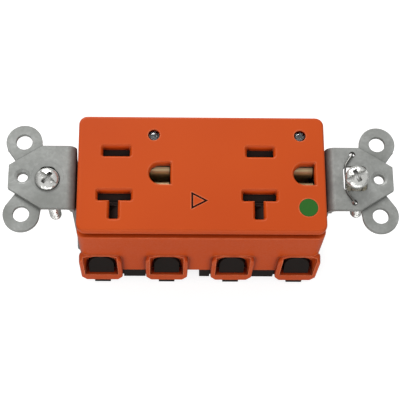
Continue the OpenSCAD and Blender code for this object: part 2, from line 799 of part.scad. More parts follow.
module left_mounting_screw() { at_left_screw() mounting_screw(); }
module right_mounting_screw() { at_right_screw() mounting_screw(); }
module left_screw_keeper() { at_left_screw() screw_keeper(); }
module right_screw_keeper() { at_right_screw() screw_keeper(); }

// ---- Contacts ----

// Flat leaf that stands on a bar, lying along X or along Y
module leaf(x, y, l, along_x, top_z = leaf_top_z) {
  sx = along_x ? l : leaf_t;
  sy = along_x ? leaf_t : l;
  span([x - sx / 2, y - sy / 2, bar_z], [x + sx / 2, y + sy / 2, top_z]);
}

// Slot through a bar for the tenon of a terminal blade
module tenon_slot(y) {
  span([-tenon_w / 2, y - terminal_t / 2, bar_z - 1], [tenon_w / 2, y + terminal_t / 2, web_z + 1]);
}

module bar_strip(y0, y1, x0, x1) {
  span([x0, y0, bar_z], [x1, y1, web_z]);
}

leaf_step = (leaf_gap + leaf_t) / 2;

module hot_contact_bar() {
  y = blade_offset;
  color(BRASS) difference() {
    union() {
      bar_strip(y - hot_bar_w / 2, y + hot_bar_w / 2, outlet_x(LEFT) - bar_end, outlet_x(RIGHT) + bar_end);
      for (side = [LEFT, RIGHT], s = [-1, 1]) leaf(outlet_x(side), y + s * leaf_step, leaf_l, true);
    }
    tenon_slot(terminal_pitch);
  }
}

module neutral_contact_bar() {
  y = -blade_offset;
  stem_l = stem_reach - blade_offset - leaf_step - 1;
  stem_y = -stem_reach + stem_l / 2 + 0.2;
  side_l = tee_bar_l / 2 - leaf_step - leaf_t;
  color(BRASS) difference() {
    union() {
      bar_strip(-stem_reach, y + 1.9, outlet_x(LEFT) - bar_end, outlet_x(RIGHT) + bar_end);
      for (side = [LEFT, RIGHT]) {
        x = outlet_x(side);
        leaf(x + tee_bar_shift, y + leaf_step, tee_bar_l - 0.4, true);
        for (s = [-1, 1]) {
          leaf(x + stem_shift + s * (leaf_step + leaf_t / 2 + side_l / 2), y - leaf_step, side_l, true);
          leaf(x + stem_shift + s * leaf_step, stem_y, stem_l, false);
        }
      }
    }
    tenon_slot(-terminal_pitch);
  }
}

module ground_contact_bar() {
  step = (ground_gap + leaf_t) / 2;
  color(BRASS) difference() {
    union() {
      bar_strip(-ground_bar_w / 2, ground_bar_w / 2,
                outlet_x(LEFT) + ground_shift - ground_leaf_l / 2, outlet_x(RIGHT) + ground_shift + ground_leaf_l / 2);
      for (side = [LEFT, RIGHT], s = [-1, 1])
        leaf(outlet_x(side) + ground_shift, s * step, ground_leaf_l, true, ground_top_z);
    }
    tenon_slot(0);
  }
}

// Flat blade of the wiring socket, staked into its bar with a tenon
module terminal_blade(y) {
  color(BRIGHT) {
    span([-terminal_w / 2, y - terminal_t / 2, terminal_end_z], [terminal_w / 2, y + terminal_t / 2, bar_z]);
    span([-tenon_w / 2, y - terminal_t / 2, bar_z - eps], [tenon_w / 2, y + terminal_t / 2, web_z]);
  }
}

module hot_terminal_blade() { terminal_blade(terminal_pitch); }
module neutral_terminal_blade() { terminal_blade(-terminal_pitch); }
module ground_terminal_blade() { terminal_blade(0); }

// Steel clip round a pair of ground leaves
module ground_spring_clip(side) {
  x = outlet_x(side) + ground_shift;
  y = ground_gap / 2 + leaf_t;
  z = leaf_top_z - 5;
  h = 3;
  half = ground_leaf_l / 2;
  color(STEEL) {
    for (s = [-1, 1])
      translate([x, s * (y + clip_t / 2), z + h / 2]) cube([ground_leaf_l, clip_t, h], center = true);
    translate([x - half - clip_t / 2, 0, z + h / 2]) cube([clip_t, 2 * (y + clip_t), h], center = true);
  }
}

module left_ground_spring_clip() { ground_spring_clip(LEFT); }
module right_ground_spring_clip() { ground_spring_clip(RIGHT); }

// ---- Indicators ----

module lamp_lens(side) {
  z0 = board_top_z + lamp_body_h + 0.3;
  flange_h = 1;
  color([0.85, 0.88, 0.9, 0.6]) translate([lamp_x(side), lamp_y, 0]) {
    translate([0, 0, z0]) cylinder(h = face_z - lens_recess - z0, d = lens_d - 0.04);
    translate([0, 0, slab_z - flange_h]) cylinder(h = flange_h, d = lens_d + 0.9);
  }
}

module lamp(side) {
  color([0.8, 0.25, 0.2, 0.8]) translate([lamp_x(side), lamp_y, board_top_z]) {
    cylinder(h = 0.6, d = lamp_d + 0.3);
    cylinder(h = lamp_body_h - lamp_d / 2, d = lamp_d);
    translate([0, 0, lamp_body_h - lamp_d / 2]) sphere(d = lamp_d);
    for (s = [-1, 1])
      translate([s * 0.9, 0, -board_t - 0.7]) cylinder(h = board_t + 0.7 + eps, d = 0.5, $fn = 20);
  }
}

module left_lamp_lens() { lamp_lens(LEFT); }
module right_lamp_lens() { lamp_lens(RIGHT); }
module left_lamp() { lamp(LEFT); }
module right_lamp() { lamp(RIGHT); }

module lamp_circuit_board() {
  y0 = lamp_channel[0] + 0.15;
  y1 = lamp_channel[1] - 0.15;
  color([0.15, 0.4, 0.22]) difference() {
    span([board_x0, y0, board_z], [board_x1, y1, board_top_z]);
    for (side = [LEFT, RIGHT], s = [-1, 1])
      translate([lamp_x(side) + s * 0.9, lamp_y, board_z - 1]) cylinder(h = board_t + 2, d = 0.5, $fn = 20);
  }
}

// Two resistors lying on the board, one beside each lamp
module lamp_resistors() {
  color([0.78, 0.7, 0.55]) for (side = [LEFT, RIGHT])
    translate([lamp_x(side) + (side < 0 ? 7 : -7), lamp_y + 0.4, board_top_z + resistor_d / 2]) rotate([0, 90, 0]) {
      translate([0, 0, -resistor_l / 2]) cylinder(h = resistor_l, d = resistor_d, $fn = 32);
      translate([0, 0, -resistor_l / 2 - 1]) cylinder(h = resistor_l + 2, d = 0.5, $fn = 20);
    }
}

module lamp_hot_lead() {
  z = board_top_z + 1.6;
  y = blade_offset;
  color([0.15, 0.15, 0.16]) tube(bent([
    [hot_lead_x, lamp_y, board_top_z], [hot_lead_x, lamp_y, z],
    [hot_lead_x, y, z], [hot_lead_x, y, web_z]], 0.8), lead_d);
}

module lamp_neutral_lead() {
  y = -blade_offset;
  color([0.85, 0.85, 0.82]) tube(bent([
    [neutral_lead_x, lamp_y, board_top_z], [neutral_lead_x, lamp_y, lead_cross_z],
    [neutral_lead_x, y, lead_cross_z], [neutral_lead_x, y, web_z]], 0.8), lead_d);
}

// ---- Shutters ----

module shutter_frame(side) {
  color([0.22, 0.22, 0.23]) translate([outlet_x(side), 0, 0]) {
    difference() {
      span([frame_in_x0 - frame_wall, frame_in_y0 - 0.6, frame_z],
           [frame_in_x1 + frame_wall, frame_in_y1 + frame_wall, slab_z]);
      span([frame_in_x0, frame_in_y0, floor_z], [frame_in_x1, frame_in_y1, slab_z + 1]);
      translate([0, 0, frame_z - 1]) linear_extrude(frame_floor_t + 2) slot_outlines(0.3);
    }
    // Post that the shutter's spring pushes against
    span([tee_bar_shift - spring_d / 2, spring_pocket_y, floor_z - eps],
         [tee_bar_shift + spring_d / 2, spring_pocket_y + post_l, shutter_top_z - 0.7]);
    // Guide rail between the gate and the shutter, beside the gate's spring
    span([gate_x0 + gate_w + gate_travel + slide_gap, gate_y1 - 0.9, floor_z - eps],
         [frame_in_x1 + eps, gate_y1 - 0.1, floor_z + 0.6]);
  }
}

// Ramp cut into a block: it falls from x or y = 0 towards the negative side
module ramp_cut(l, w) {
  prism_yz(-l / 2, l / 2) polygon([[w / 2 + 0.01, shutter_top_z + 0.01], [-w / 2 - 0.01, shutter_top_z + 0.01],
                                   [-w / 2 - 0.01, shutter_top_z - 1.2]]);
}

module shutter(side) {
  pocket_y0 = shutter_y0 + block_w + 0.6;
  hole_y1 = blade_offset - shutter_travel + slot_w / 2 + 0.2;
  hole_y0 = blade_offset - shutter_travel - slot_w / 2;
  pocket_y1 = spring_pocket_y + post_l + slide_gap;
  color([0.16, 0.16, 0.17]) translate([outlet_x(side), 0, 0]) difference() {
    span([shutter_x0, shutter_y0, shutter_z], [shutter_x1, shutter_y1, shutter_top_z]);
    // Hole that a blade passes once the shutter has moved
    span([-hot_slot_l / 2 - 0.2, hole_y0, shutter_z - 1],
         [hot_slot_l / 2 + 0.2, hole_y1, shutter_top_z + 1]);
    // Pocket for the spring and its post
    span([tee_bar_shift - spring_d / 2 - slide_gap, pocket_y0, shutter_z - 1],
         [tee_bar_shift + spring_d / 2 + slide_gap, pocket_y1, shutter_top_z - 0.4]);
    // Ramps that turn a blade's push into sideways travel
    translate([0, blade_offset, 0]) ramp_cut(hot_slot_l + 0.2, slot_w);
    translate([tee_bar_shift, -blade_offset, 0]) ramp_cut(tee_bar_l + 0.2, slot_w);
  }
}

module stem_gate(side) {
  color([0.16, 0.16, 0.17]) translate([outlet_x(side), 0, 0]) difference() {
    span([gate_x0, gate_y0, shutter_z], [gate_x0 + gate_w, gate_y1, shutter_top_z]);
    translate([gate_x0 + gate_w / 2, (gate_y0 + gate_y1) / 2, 0]) rotate([0, 0, -90])
      ramp_cut(gate_y1 - gate_y0 - 0.6, gate_w - 0.6);
  }
}

module shutter_spring(side) {
  y0 = shutter_y0 + block_w + 0.6 + 0.05;
  y1 = spring_pocket_y - 0.05;
  color(BRIGHT) translate([outlet_x(side) + tee_bar_shift, y0, spring_z]) rotate([-90, 0, 0])
    coil_spring(y1 - y0, spring_d, spring_wire, 5);
}

module gate_spring(side) {
  x0 = gate_x0 + gate_w + 0.05;
  x1 = frame_in_x1 - 0.05;
  color(BRIGHT) translate([outlet_x(side) + x0, (gate_y0 + gate_y1) / 2, spring_z]) rotate([0, 90, 0])
    coil_spring(x1 - x0, spring_d, spring_wire, 4);
}

module left_shutter_frame() { shutter_frame(LEFT); }
module right_shutter_frame() { shutter_frame(RIGHT); }
module left_shutter() { shutter(LEFT); }
module right_shutter() { shutter(RIGHT); }
module left_stem_gate() { stem_gate(LEFT); }
module right_stem_gate() { stem_gate(RIGHT); }
module left_shutter_spring() { shutter_spring(LEFT); }
module right_shutter_spring() { shutter_spring(RIGHT); }
module left_gate_spring() { gate_spring(LEFT); }
module right_gate_spring() { gate_spring(RIGHT); }

// ---- Marks on the face ----

module isolated_ground_mark() {
  color([0.24, 0.05, 0.03]) translate([0, 0, face_z - inlay_t]) linear_extrude(inlay_t) mark_outline();
}

module hospital_dot() {
  color([0.18, 0.5, 0.2]) translate([dot_x, dot_y, face_z - inlay_t]) cylinder(h = inlay_t, d = dot_d);
}

front_cover();
base_housing();
mounting_strap();
strap_rivets();
ground_clip_wire();
left_mounting_screw();
right_mounting_screw();
left_screw_keeper();
right_screw_keeper();
hot_contact_bar();
neutral_contact_bar();
ground_contact_bar();
hot_terminal_blade();
neutral_terminal_blade();
ground_terminal_blade();
left_ground_spring_clip();
right_ground_spring_clip();
left_lamp_lens();
right_lamp_lens();
left_lamp();
right_lamp();
lamp_circuit_board();
lamp_resistors();
lamp_hot_lead();
lamp_neutral_lead();
left_shutter_frame();
right_shutter_frame();
left_shutter();
right_shutter();
left_stem_gate();
right_stem_gate();
left_shutter_spring();
right_shutter_spring();
left_gate_spring();
right_gate_spring();
isolated_ground_mark();
hospital_dot();
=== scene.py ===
# %% [markdown]
# # A duplex receptacle with a press-together cover
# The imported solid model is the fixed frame: every size and place below is read from it or
# repeats a size of its source. The orange cover, the black base, the strap, the screws and
# the small inner parts are rebuilt round it with the soft edges and finishes of real parts.
# All lengths in this lesson are written in millimetres and turned into metres at the end,
# because a receptacle's drawing is read in millimetres.

# %% Load the frame and keep its box
import math
import bmesh
import bpy
from mathutils import Matrix, Vector


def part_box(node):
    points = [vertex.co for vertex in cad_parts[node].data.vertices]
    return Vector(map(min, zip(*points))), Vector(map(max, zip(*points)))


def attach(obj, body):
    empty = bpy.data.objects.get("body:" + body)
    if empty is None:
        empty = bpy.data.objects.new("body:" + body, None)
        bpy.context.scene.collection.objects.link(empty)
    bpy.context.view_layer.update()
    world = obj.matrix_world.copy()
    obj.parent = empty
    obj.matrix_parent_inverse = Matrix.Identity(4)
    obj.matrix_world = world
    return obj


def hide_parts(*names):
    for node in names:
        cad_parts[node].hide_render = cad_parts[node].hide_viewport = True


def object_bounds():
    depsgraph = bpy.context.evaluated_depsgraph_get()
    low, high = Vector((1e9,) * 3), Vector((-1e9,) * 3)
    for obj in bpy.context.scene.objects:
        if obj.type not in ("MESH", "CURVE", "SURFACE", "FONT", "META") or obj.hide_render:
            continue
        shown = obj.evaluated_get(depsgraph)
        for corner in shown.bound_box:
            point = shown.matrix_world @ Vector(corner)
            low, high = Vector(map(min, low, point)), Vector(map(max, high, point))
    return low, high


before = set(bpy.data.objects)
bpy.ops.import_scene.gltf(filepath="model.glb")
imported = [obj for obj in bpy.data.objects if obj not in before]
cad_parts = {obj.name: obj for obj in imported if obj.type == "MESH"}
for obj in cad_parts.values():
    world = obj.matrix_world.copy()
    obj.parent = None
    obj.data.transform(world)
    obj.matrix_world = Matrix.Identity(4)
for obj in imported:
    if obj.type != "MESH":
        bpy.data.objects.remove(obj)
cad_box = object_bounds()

MM = 0.001
print("CAD box in mm:", [[round(v / MM, 2) for v in corner] for corner in cad_box])

# %% [markdown]
# ## Camera, light and floor
# The camera stands a third of a metre away, over the long side that has the snap loops, and
# looks down at the face. Its turn is three small angles: tipped 20.5 degrees towards the
# loops, and a degree or so of lean that a hand-set product shot always has. A long lens
# keeps the perspective gentle. The light is a room with a bright ceiling and dim walls, so
# that round metal parts show dark and light bands. One panel stands high behind and throws
# light across the slots. Two more stand in front: one lifts the loops, and a narrow one gives
# the metal its bright streaks. The floor and the backdrop glow only towards the camera, so
# that both stay white and don't flatten the light on the part.

# %% Camera
def rotation(axis, degrees):
    return Matrix.Rotation(math.radians(degrees), 3, axis)

lean_z, lean_y, tip_x = -0.34, 1.50, -20.54
camera_turn = (rotation("Z", lean_z) @ rotation("Y", lean_y) @ rotation("X", tip_x)).transposed()
camera_place = (-0.0090796, -0.1223875, 0.3114294)
camera_data = bpy.data.cameras.new("product_camera")
camera_data.lens = 110.4955
camera_data.sensor_width = 36
camera_data.clip_start, camera_data.clip_end = 0.01, 20
camera = bpy.data.objects.new("product_camera", camera_data)
camera.matrix_world = Matrix.Translation(camera_place) @ camera_turn.to_4x4()
bpy.context.scene.collection.objects.link(camera)
bpy.context.scene.camera = camera
bpy.context.scene.view_settings.view_transform = "Standard"
print("camera", [round(v / MM) for v in camera.location], "mm")

# %% Light and floor
def panel(name, place, aim, size, power):
    light = bpy.data.lights.new(name, "AREA")
    light.shape, light.size, light.size_y = "RECTANGLE", size[0], size[1]
    light.energy = power
    obj = bpy.data.objects.new(name, light)
    obj.location = place
    obj.rotation_mode = "QUATERNION"
    obj.rotation_quaternion = (Vector(aim) - Vector(place)).to_track_quat("-Z", "Y")
    bpy.context.scene.collection.objects.link(obj)

room_strength, wall_dimness, ceiling_from = 0.62, 0.16, 0.55
backdrop_glow, floor_glow, floor_grey = 1.5, 0.76, 0.50
world = bpy.data.worlds.new("white_room")
bpy.context.scene.world = world
world.use_nodes = True
room = world.node_tree.nodes["Background"]
direction = world.node_tree.nodes.new("ShaderNodeTexCoord").outputs["Generated"]
split = world.node_tree.nodes.new("ShaderNodeSeparateXYZ")
world.node_tree.links.new(direction, split.inputs[0])
walls = world.node_tree.nodes.new("ShaderNodeMapRange")
for label, value in (("From Min", 0.0), ("From Max", ceiling_from),
                     ("To Min", wall_dimness), ("To Max", 1.0)):
    walls.inputs[label].default_value = value
world.node_tree.links.new(split.outputs["Z"], walls.inputs["Value"])
backdrop = world.node_tree.nodes.new("ShaderNodeMath")
backdrop.operation = "MULTIPLY_ADD"
backdrop.inputs[1].default_value = backdrop_glow
to_camera = world.node_tree.nodes.new("ShaderNodeLightPath").outputs["Is Camera Ray"]
world.node_tree.links.new(to_camera, backdrop.inputs[0])
world.node_tree.links.new(walls.outputs["Result"], backdrop.inputs[2])
world.node_tree.links.new(backdrop.outputs[0], room.inputs["Color"])
room.inputs["Strength"].default_value = room_strength

panel("high_panel", (-0.15, 0.52, 0.36), (0, 0, 0), (0.35, 0.35), 2.7)
panel("loop_side_panel", (0.05, -0.55, 0.10), (0, 0, -0.01), (0.5, 0.25), 1.0)
panel("front_strip", (-0.28, -0.40, 0.22), (-0.02, 0, 0), (0.08, 0.5), 0.4)

floor_mesh = bpy.data.meshes.new("floor")
floor_z, half_floor = cad_box[0].z, 3.0
floor_corners = [(x * half_floor, y * half_floor, floor_z) for x, y in ((-1, -1), (1, -1), (1, 1), (-1, 1))]
floor_mesh.from_pydata(floor_corners, [], [(0, 1, 2, 3)])
floor = bpy.data.objects.new("floor", floor_mesh)
bpy.context.scene.collection.objects.link(floor)
floor_paint = bpy.data.materials.new("floor_paint")
floor_paint.use_nodes = True
floor_shader = floor_paint.node_tree.nodes["Principled BSDF"]
floor_shader.inputs["Base Color"].default_value = (floor_grey, floor_grey, floor_grey, 1)
floor_shader.inputs["Roughness"].default_value = 0.9
floor_shader.inputs["Specular IOR Level"].default_value = 0.1
floor_shader.inputs["Emission Color"].default_value = (1, 1, 1, 1)
seen = floor_paint.node_tree.nodes.new("ShaderNodeLightPath").outputs["Is Camera Ray"]
glow = floor_paint.node_tree.nodes.new("ShaderNodeMath")
glow.operation = "MULTIPLY"
glow.inputs[1].default_value = floor_glow
floor_paint.node_tree.links.new(seen, glow.inputs[0])
floor_paint.node_tree.links.new(glow.outputs[0], floor_shader.inputs["Emission Strength"])
floor_mesh.materials.append(floor_paint)
print("floor at", round(floor_z / MM, 2), "mm")

# %% [markdown]
# ## Finishes
# Four effects are shared by many parts, so each is a node group with named inputs:
# *Moulded grain* is the faint orange-peel and colour drift of moulded plastic, *Brushed
# steel* is the fine rolling lines and spangle of plated sheet, *Painted edge light* finds the
# edges of a part from the angle between its face and a rounded copy of it, so that edges can
# be painted a little lighter as a highlight, or darker as shade, and *Painted shade in hollows*
# finds grooves and corners that little light reaches, where the colour is darkened as painted
# shade. The groups only put out masks and heights; each material then decides what to do
# with them.

# %% Node helpers
def new_group(name, inputs, outputs):
    tree = bpy.data.node_groups.new(name, "ShaderNodeTree")
    for label, kind, default in inputs:
        socket = tree.interface.new_socket(label, in_out="INPUT", socket_type=kind)
        socket.default_value = default
    for label, kind in outputs:
        tree.interface.new_socket(label, in_out="OUTPUT", socket_type=kind)
    return tree, tree.nodes.new("NodeGroupInput"), tree.nodes.new("NodeGroupOutput")

def add(tree, kind, inputs=None, **settings):
    node = tree.nodes.new(kind)
    for key, value in settings.items():
        setattr(node, key, value)
    for key, value in (inputs or {}).items():
        if isinstance(value, bpy.types.NodeSocket):
            tree.links.new(value, node.inputs[key])
        else:
            node.inputs[key].default_value = value
    return node

def noise(tree, coords, scale, detail=3.0, roughness=0.5):
    return add(tree, "ShaderNodeTexNoise", {"Vector": coords, "Scale": scale, "Detail": detail,
                                            "Roughness": roughness}).outputs["Fac"]

def remap(tree, value, low, high, to_low, to_high):
    return add(tree, "ShaderNodeMapRange", {"Value": value, "From Min": low, "From Max": high,
                                            "To Min": to_low, "To Max": to_high}).outputs["Result"]

def mixed(tree, factor, a, b):
    node = add(tree, "ShaderNodeMix", data_type="RGBA")
    for socket, value in ((node.inputs[0], factor), (node.inputs[6], a), (node.inputs[7], b)):
        if isinstance(value, bpy.types.NodeSocket):
            tree.links.new(value, socket)
        else:
            socket.default_value = value
    return node.outputs[2]

def stretched(tree, coords, scale):
    return add(tree, "ShaderNodeMapping", {"Vector": coords, "Scale": scale}).outputs["Vector"]

# %% Shared effects
def make_grain_group():
    tree, inlet, outlet = new_group(
        "Moulded grain",
        [("Vector", "NodeSocketVector", (0, 0, 0)), ("Grain Scale", "NodeSocketFloat", 2600.0),
         ("Drift Scale", "NodeSocketFloat", 28.0)],
        [("Height", "NodeSocketFloat"), ("Drift", "NodeSocketFloat")])
    fine = noise(tree, inlet.outputs["Vector"], inlet.outputs["Grain Scale"], 2.0)
    broad = noise(tree, inlet.outputs["Vector"], inlet.outputs["Drift Scale"], 2.0)
    tree.links.new(fine, outlet.inputs["Height"])
    tree.links.new(remap(tree, broad, 0.3, 0.7, 0.0, 1.0), outlet.inputs["Drift"])
    return tree

def make_brushed_group():
    tree, inlet, outlet = new_group(
        "Brushed steel", [("Vector", "NodeSocketVector", (0, 0, 0)), ("Line Scale", "NodeSocketFloat", 420.0),
                          ("Spangle Scale", "NodeSocketFloat", 700.0)],
        [("Lines", "NodeSocketFloat"), ("Spangle", "NodeSocketFloat"), ("Clouds", "NodeSocketFloat")])
    along = stretched(tree, inlet.outputs["Vector"], (1.0, 12.0, 4.0))
    lines = noise(tree, along, inlet.outputs["Line Scale"], 3.0, 0.6)
    crystals = add(tree, "ShaderNodeTexVoronoi", {"Vector": inlet.outputs["Vector"],
                                                  "Scale": inlet.outputs["Spangle Scale"]})
    grey = add(tree, "ShaderNodeSeparateColor", {"Color": crystals.outputs["Color"]})
    clouds = noise(tree, inlet.outputs["Vector"], 110.0, 4.0, 0.6)
    tree.links.new(lines, outlet.inputs["Lines"])
    tree.links.new(grey.outputs[0], outlet.inputs["Spangle"])
    tree.links.new(remap(tree, clouds, 0.35, 0.65, 0.0, 1.0), outlet.inputs["Clouds"])
    return tree

# An edge mask; the finishes use it to paint their edges lighter as a highlight, and the strap's edges darker
# as shade.
def make_edge_group():
    tree, inlet, outlet = new_group(
        "Painted edge light", [("Vector", "NodeSocketVector", (0, 0, 0)), ("Radius", "NodeSocketFloat", 0.0003),
                         ("Breakup", "NodeSocketFloat", 500.0)],
        [("Edge", "NodeSocketFloat")])
    rounded = add(tree, "ShaderNodeBevel", {"Radius": inlet.outputs["Radius"]}, samples=4)
    flat = add(tree, "ShaderNodeNewGeometry")
    match = add(tree, "ShaderNodeVectorMath", {0: rounded.outputs[0], 1: flat.outputs["Normal"]},
                operation="DOT_PRODUCT").outputs["Value"]
    edge = remap(tree, match, 0.995, 0.90, 0.0, 1.0)
    patches = noise(tree, inlet.outputs["Vector"], inlet.outputs["Breakup"], 3.0)
    broken = remap(tree, patches, 0.3, 0.7, 0.35, 1.0)
    both = add(tree, "ShaderNodeMath", {0: edge, 1: broken}, operation="MULTIPLY").outputs[0]
    tree.links.new(both, outlet.inputs["Edge"])
    return tree

# An ambient-occlusion mask of grooves and corners; the finishes darken their colour there as painted shade.
def make_hollow_shade_group():
    tree, inlet, outlet = new_group(
        "Painted shade in hollows", [("Reach", "NodeSocketFloat", 0.0015)], [("Depth", "NodeSocketFloat")])
    open_sky = add(tree, "ShaderNodeAmbientOcclusion", {"Distance": inlet.outputs["Reach"]}, samples=6)
    tree.links.new(remap(tree, open_sky.outputs["AO"], 0.9, 0.4, 0.0, 1.0), outlet.inputs["Depth"])
    return tree

grain_group, brushed_group, edge_group = make_grain_group(), make_brushed_group(), make_edge_group()
hollow_shade_group = make_hollow_shade_group()
print("shared effects:", [g.name for g in bpy.data.node_groups])

# %% [markdown]
# A small builder makes each finish from a few plain words: its base colour, a second colour
# that drifts through it, the edge colour painted on as a highlight (as shade on the strap),
# the colour of painted shade in its hollows, and how rough, metallic and bumpy it is.
# Plastic and metal differ only in which shared group feeds the drift and the bump.

# %% Finish builder
def colour(red, green, blue):
    """A screen colour of 0 to 255 as the linear colour that shaders use."""
    def linear(c):
        c /= 255
        return c / 12.92 if c <= 0.04045 else ((c + 0.055) / 1.055) ** 2.4
    return (linear(red), linear(green), linear(blue), 1.0)

def start_finish(name):
    material = bpy.data.materials.new(name)
    material.use_nodes = True
    tree = material.node_tree
    coords = add(tree, "ShaderNodeTexCoord").outputs["Object"]
    return material, tree, tree.nodes["Principled BSDF"], coords

def use_group(tree, group, coords, **values):
    node = add(tree, "ShaderNodeGroup", node_tree=group)
    tree.links.new(coords, node.inputs["Vector"])
    for label, value in values.items():
        node.inputs[label.replace("_", " ")].default_value = value
    return node.outputs

def shaded(tree, body, painted_shade, reach):
    """Paints shade into a body colour where the part is sheltered from light; also returns how open it is."""
    node = add(tree, "ShaderNodeGroup", node_tree=hollow_shade_group)
    node.inputs["Reach"].default_value = reach
    depth = node.outputs["Depth"]
    return mixed(tree, depth, body, painted_shade), remap(tree, depth, 0.0, 1.0, 1.0, 0.45)

relief_depth = 0.00004

def moulded(name, base, drift, edge, roughness, bump=0.12, specular=0.4, edge_radius=0.0003,
            painted_shade=None, reach=0.0016):
    rough_swing = 0.06
    material, tree, shader, coords = start_finish(name)
    grain_out = use_group(tree, grain_group, coords)
    edges = use_group(tree, edge_group, coords, Radius=edge_radius)
    # Painted shade: the colour darkens towards the painted shade colour in grooves and corners.
    body, openness = shaded(tree, mixed(tree, grain_out["Drift"], base, drift), painted_shade or drift, reach)
    # Painted highlight: edges take the lighter edge colour, less so in hollows.
    edge_light = add(tree, "ShaderNodeMath", {0: edges["Edge"], 1: openness}, operation="MULTIPLY").outputs[0]
    tree.links.new(mixed(tree, edge_light, body, edge), shader.inputs["Base Color"])
    height = grain_out["Height"]
    tree.links.new(remap(tree, height, 0.3, 0.7, roughness - rough_swing, roughness + rough_swing),
                   shader.inputs["Roughness"])
    relief = add(tree, "ShaderNodeBump", {"Height": height, "Strength": bump, "Distance": relief_depth})
    tree.links.new(relief.outputs["Normal"], shader.inputs["Normal"])
    shader.inputs["Specular IOR Level"].default_value = specular
    return material

def rolled(name, base, shade, edge, roughness, bump=0.10, lines=420.0, spangle=700.0,
           metallic=1.0, painted_shade=None, reach=0.0008, dimples=0.0):
    rough_swing, edge_radius, dimple_scale, dimple_depth = 0.08, 0.00025, 900.0, 0.0003
    material, tree, shader, coords = start_finish(name)
    steel = use_group(tree, brushed_group, coords, Line_Scale=lines, Spangle_Scale=spangle)
    edges = use_group(tree, edge_group, coords, Radius=edge_radius)
    crystals = remap(tree, steel["Spangle"], 0.0, 1.0, 0.0, 0.45)
    cloudy = mixed(tree, steel["Clouds"], base, shade)
    # Painted shade: the colour darkens towards the painted shade colour in grooves and corners.
    body, openness = shaded(tree, mixed(tree, crystals, cloudy, shade), painted_shade or shade, reach)
    # Edges take the edge colour as painted light: lighter as a highlight on most metals, darker as shade on
    # the strap.
    edge_light = add(tree, "ShaderNodeMath", {0: edges["Edge"], 1: openness}, operation="MULTIPLY").outputs[0]
    tree.links.new(mixed(tree, edge_light, body, edge), shader.inputs["Base Color"])
    tree.links.new(remap(tree, steel["Lines"], 0.3, 0.7, roughness - rough_swing, roughness + rough_swing),
                   shader.inputs["Roughness"])
    relief = add(tree, "ShaderNodeBump",
                 {"Height": steel["Lines"], "Strength": bump, "Distance": relief_depth})
    dents = add(tree, "ShaderNodeBump",
                {"Height": noise(tree, coords, dimple_scale, 1.0), "Strength": dimples,
                 "Distance": dimple_depth, "Normal": relief.outputs["Normal"]})
    tree.links.new(dents.outputs["Normal"], shader.inputs["Normal"])
    shader.inputs["Metallic"].default_value = metallic
    return material

def clear(name, tint, roughness):
    material, tree, shader, coords = start_finish(name)
    tree.links.new(mixed(tree, use_group(tree, grain_group, coords)["Drift"], tint, (1, 1, 1, 1)),
                   shader.inputs["Base Color"])
    shader.inputs["Roughness"].default_value = roughness
    shader.inputs["Transmission Weight"].default_value = 1.0
    shader.inputs["IOR"].default_value = 1.49
    shader.inputs["Specular IOR Level"].default_value = 1.0
    shader.inputs["Coat Weight"].default_value = 1.0
    shader.inputs["Coat IOR"].default_value = 1.7
    return material

# %% Finishes of this receptacle
# The cover's edge colour is a painted highlight, and its dark red in grooves, slot lips and loops is painted
# shade.
orange_cover = moulded("orange_cover", colour(205, 79, 17), colour(199, 74, 16),
                       colour(242, 142, 100), 0.42, specular=0.2, edge_radius=0.0005,
                       painted_shade=colour(92, 4, 0), reach=0.0021)
black_base = moulded("black_base", colour(39, 35, 33), colour(33, 30, 28), colour(60, 54, 50), 0.55,
                     bump=0.2, specular=0.06)
shutter_black = moulded("shutter_black", colour(46, 31, 25), colour(38, 26, 21), colour(56, 42, 35),
                        0.55, specular=0.2)
# The strap's darker edge colour and its darker colour in hollows are painted shade at its steps, rims and
# bends.
strap_zinc = rolled("strap_zinc", colour(172, 174, 171), colour(134, 136, 132),
                    colour(104, 105, 102), 0.45, metallic=0.22, painted_shade=colour(64, 64, 62),
                    reach=0.0009, spangle=1500.0, bump=0.3)
# The screws' grey in recesses and under the head is painted shade.
screw_zinc = rolled("screw_zinc", colour(246, 247, 244), colour(214, 214, 209),
                    colour(236, 236, 233), 0.28, lines=900.0, spangle=1400.0,
                    painted_shade=colour(90, 90, 88), reach=0.0010, dimples=0.6, metallic=0.85)
wire_steel = rolled("wire_steel", colour(150, 150, 146), colour(104, 104, 100),
                    colour(170, 170, 166), 0.34)
contact_brass = rolled("contact_brass", colour(228, 208, 166), colour(204, 182, 140),
                       colour(236, 220, 182), 0.46, metallic=0.85)
blade_nickel = rolled("blade_nickel", colour(205, 202, 192), colour(186, 182, 170),
                      colour(226, 224, 216), 0.22)
keeper_nylon = moulded("keeper_nylon", colour(222, 216, 196), colour(212, 204, 182),
                       colour(236, 232, 216), 0.5)
lens_clear = clear("lens_clear", (0.86, 0.92, 0.95, 1), 0.06)
lamp_epoxy = moulded("lamp_epoxy", colour(196, 202, 206), colour(160, 170, 178),
                     colour(226, 230, 232), 0.15)
board_green = moulded("board_green", colour(30, 96, 56), colour(24, 84, 48), colour(120, 140, 90), 0.3)
resistor_tan = moulded("resistor_tan", colour(204, 182, 140), colour(190, 166, 124),
                       colour(220, 204, 170), 0.4)
lead_black = moulded("lead_black", colour(36, 36, 38), colour(28, 28, 30), colour(60, 60, 60), 0.45)
lead_white = moulded("lead_white", colour(224, 222, 214), colour(212, 210, 200),
                     colour(236, 235, 230), 0.45)
mark_ink = moulded("mark_ink", colour(34, 4, 0), colour(26, 2, 0), colour(44, 8, 2), 0.6, specular=0.1)
dot_green = moulded("dot_green", colour(52, 112, 40), colour(42, 100, 34), colour(64, 118, 50), 0.5,
                    specular=0.15)
print(len(bpy.data.materials), "materials")

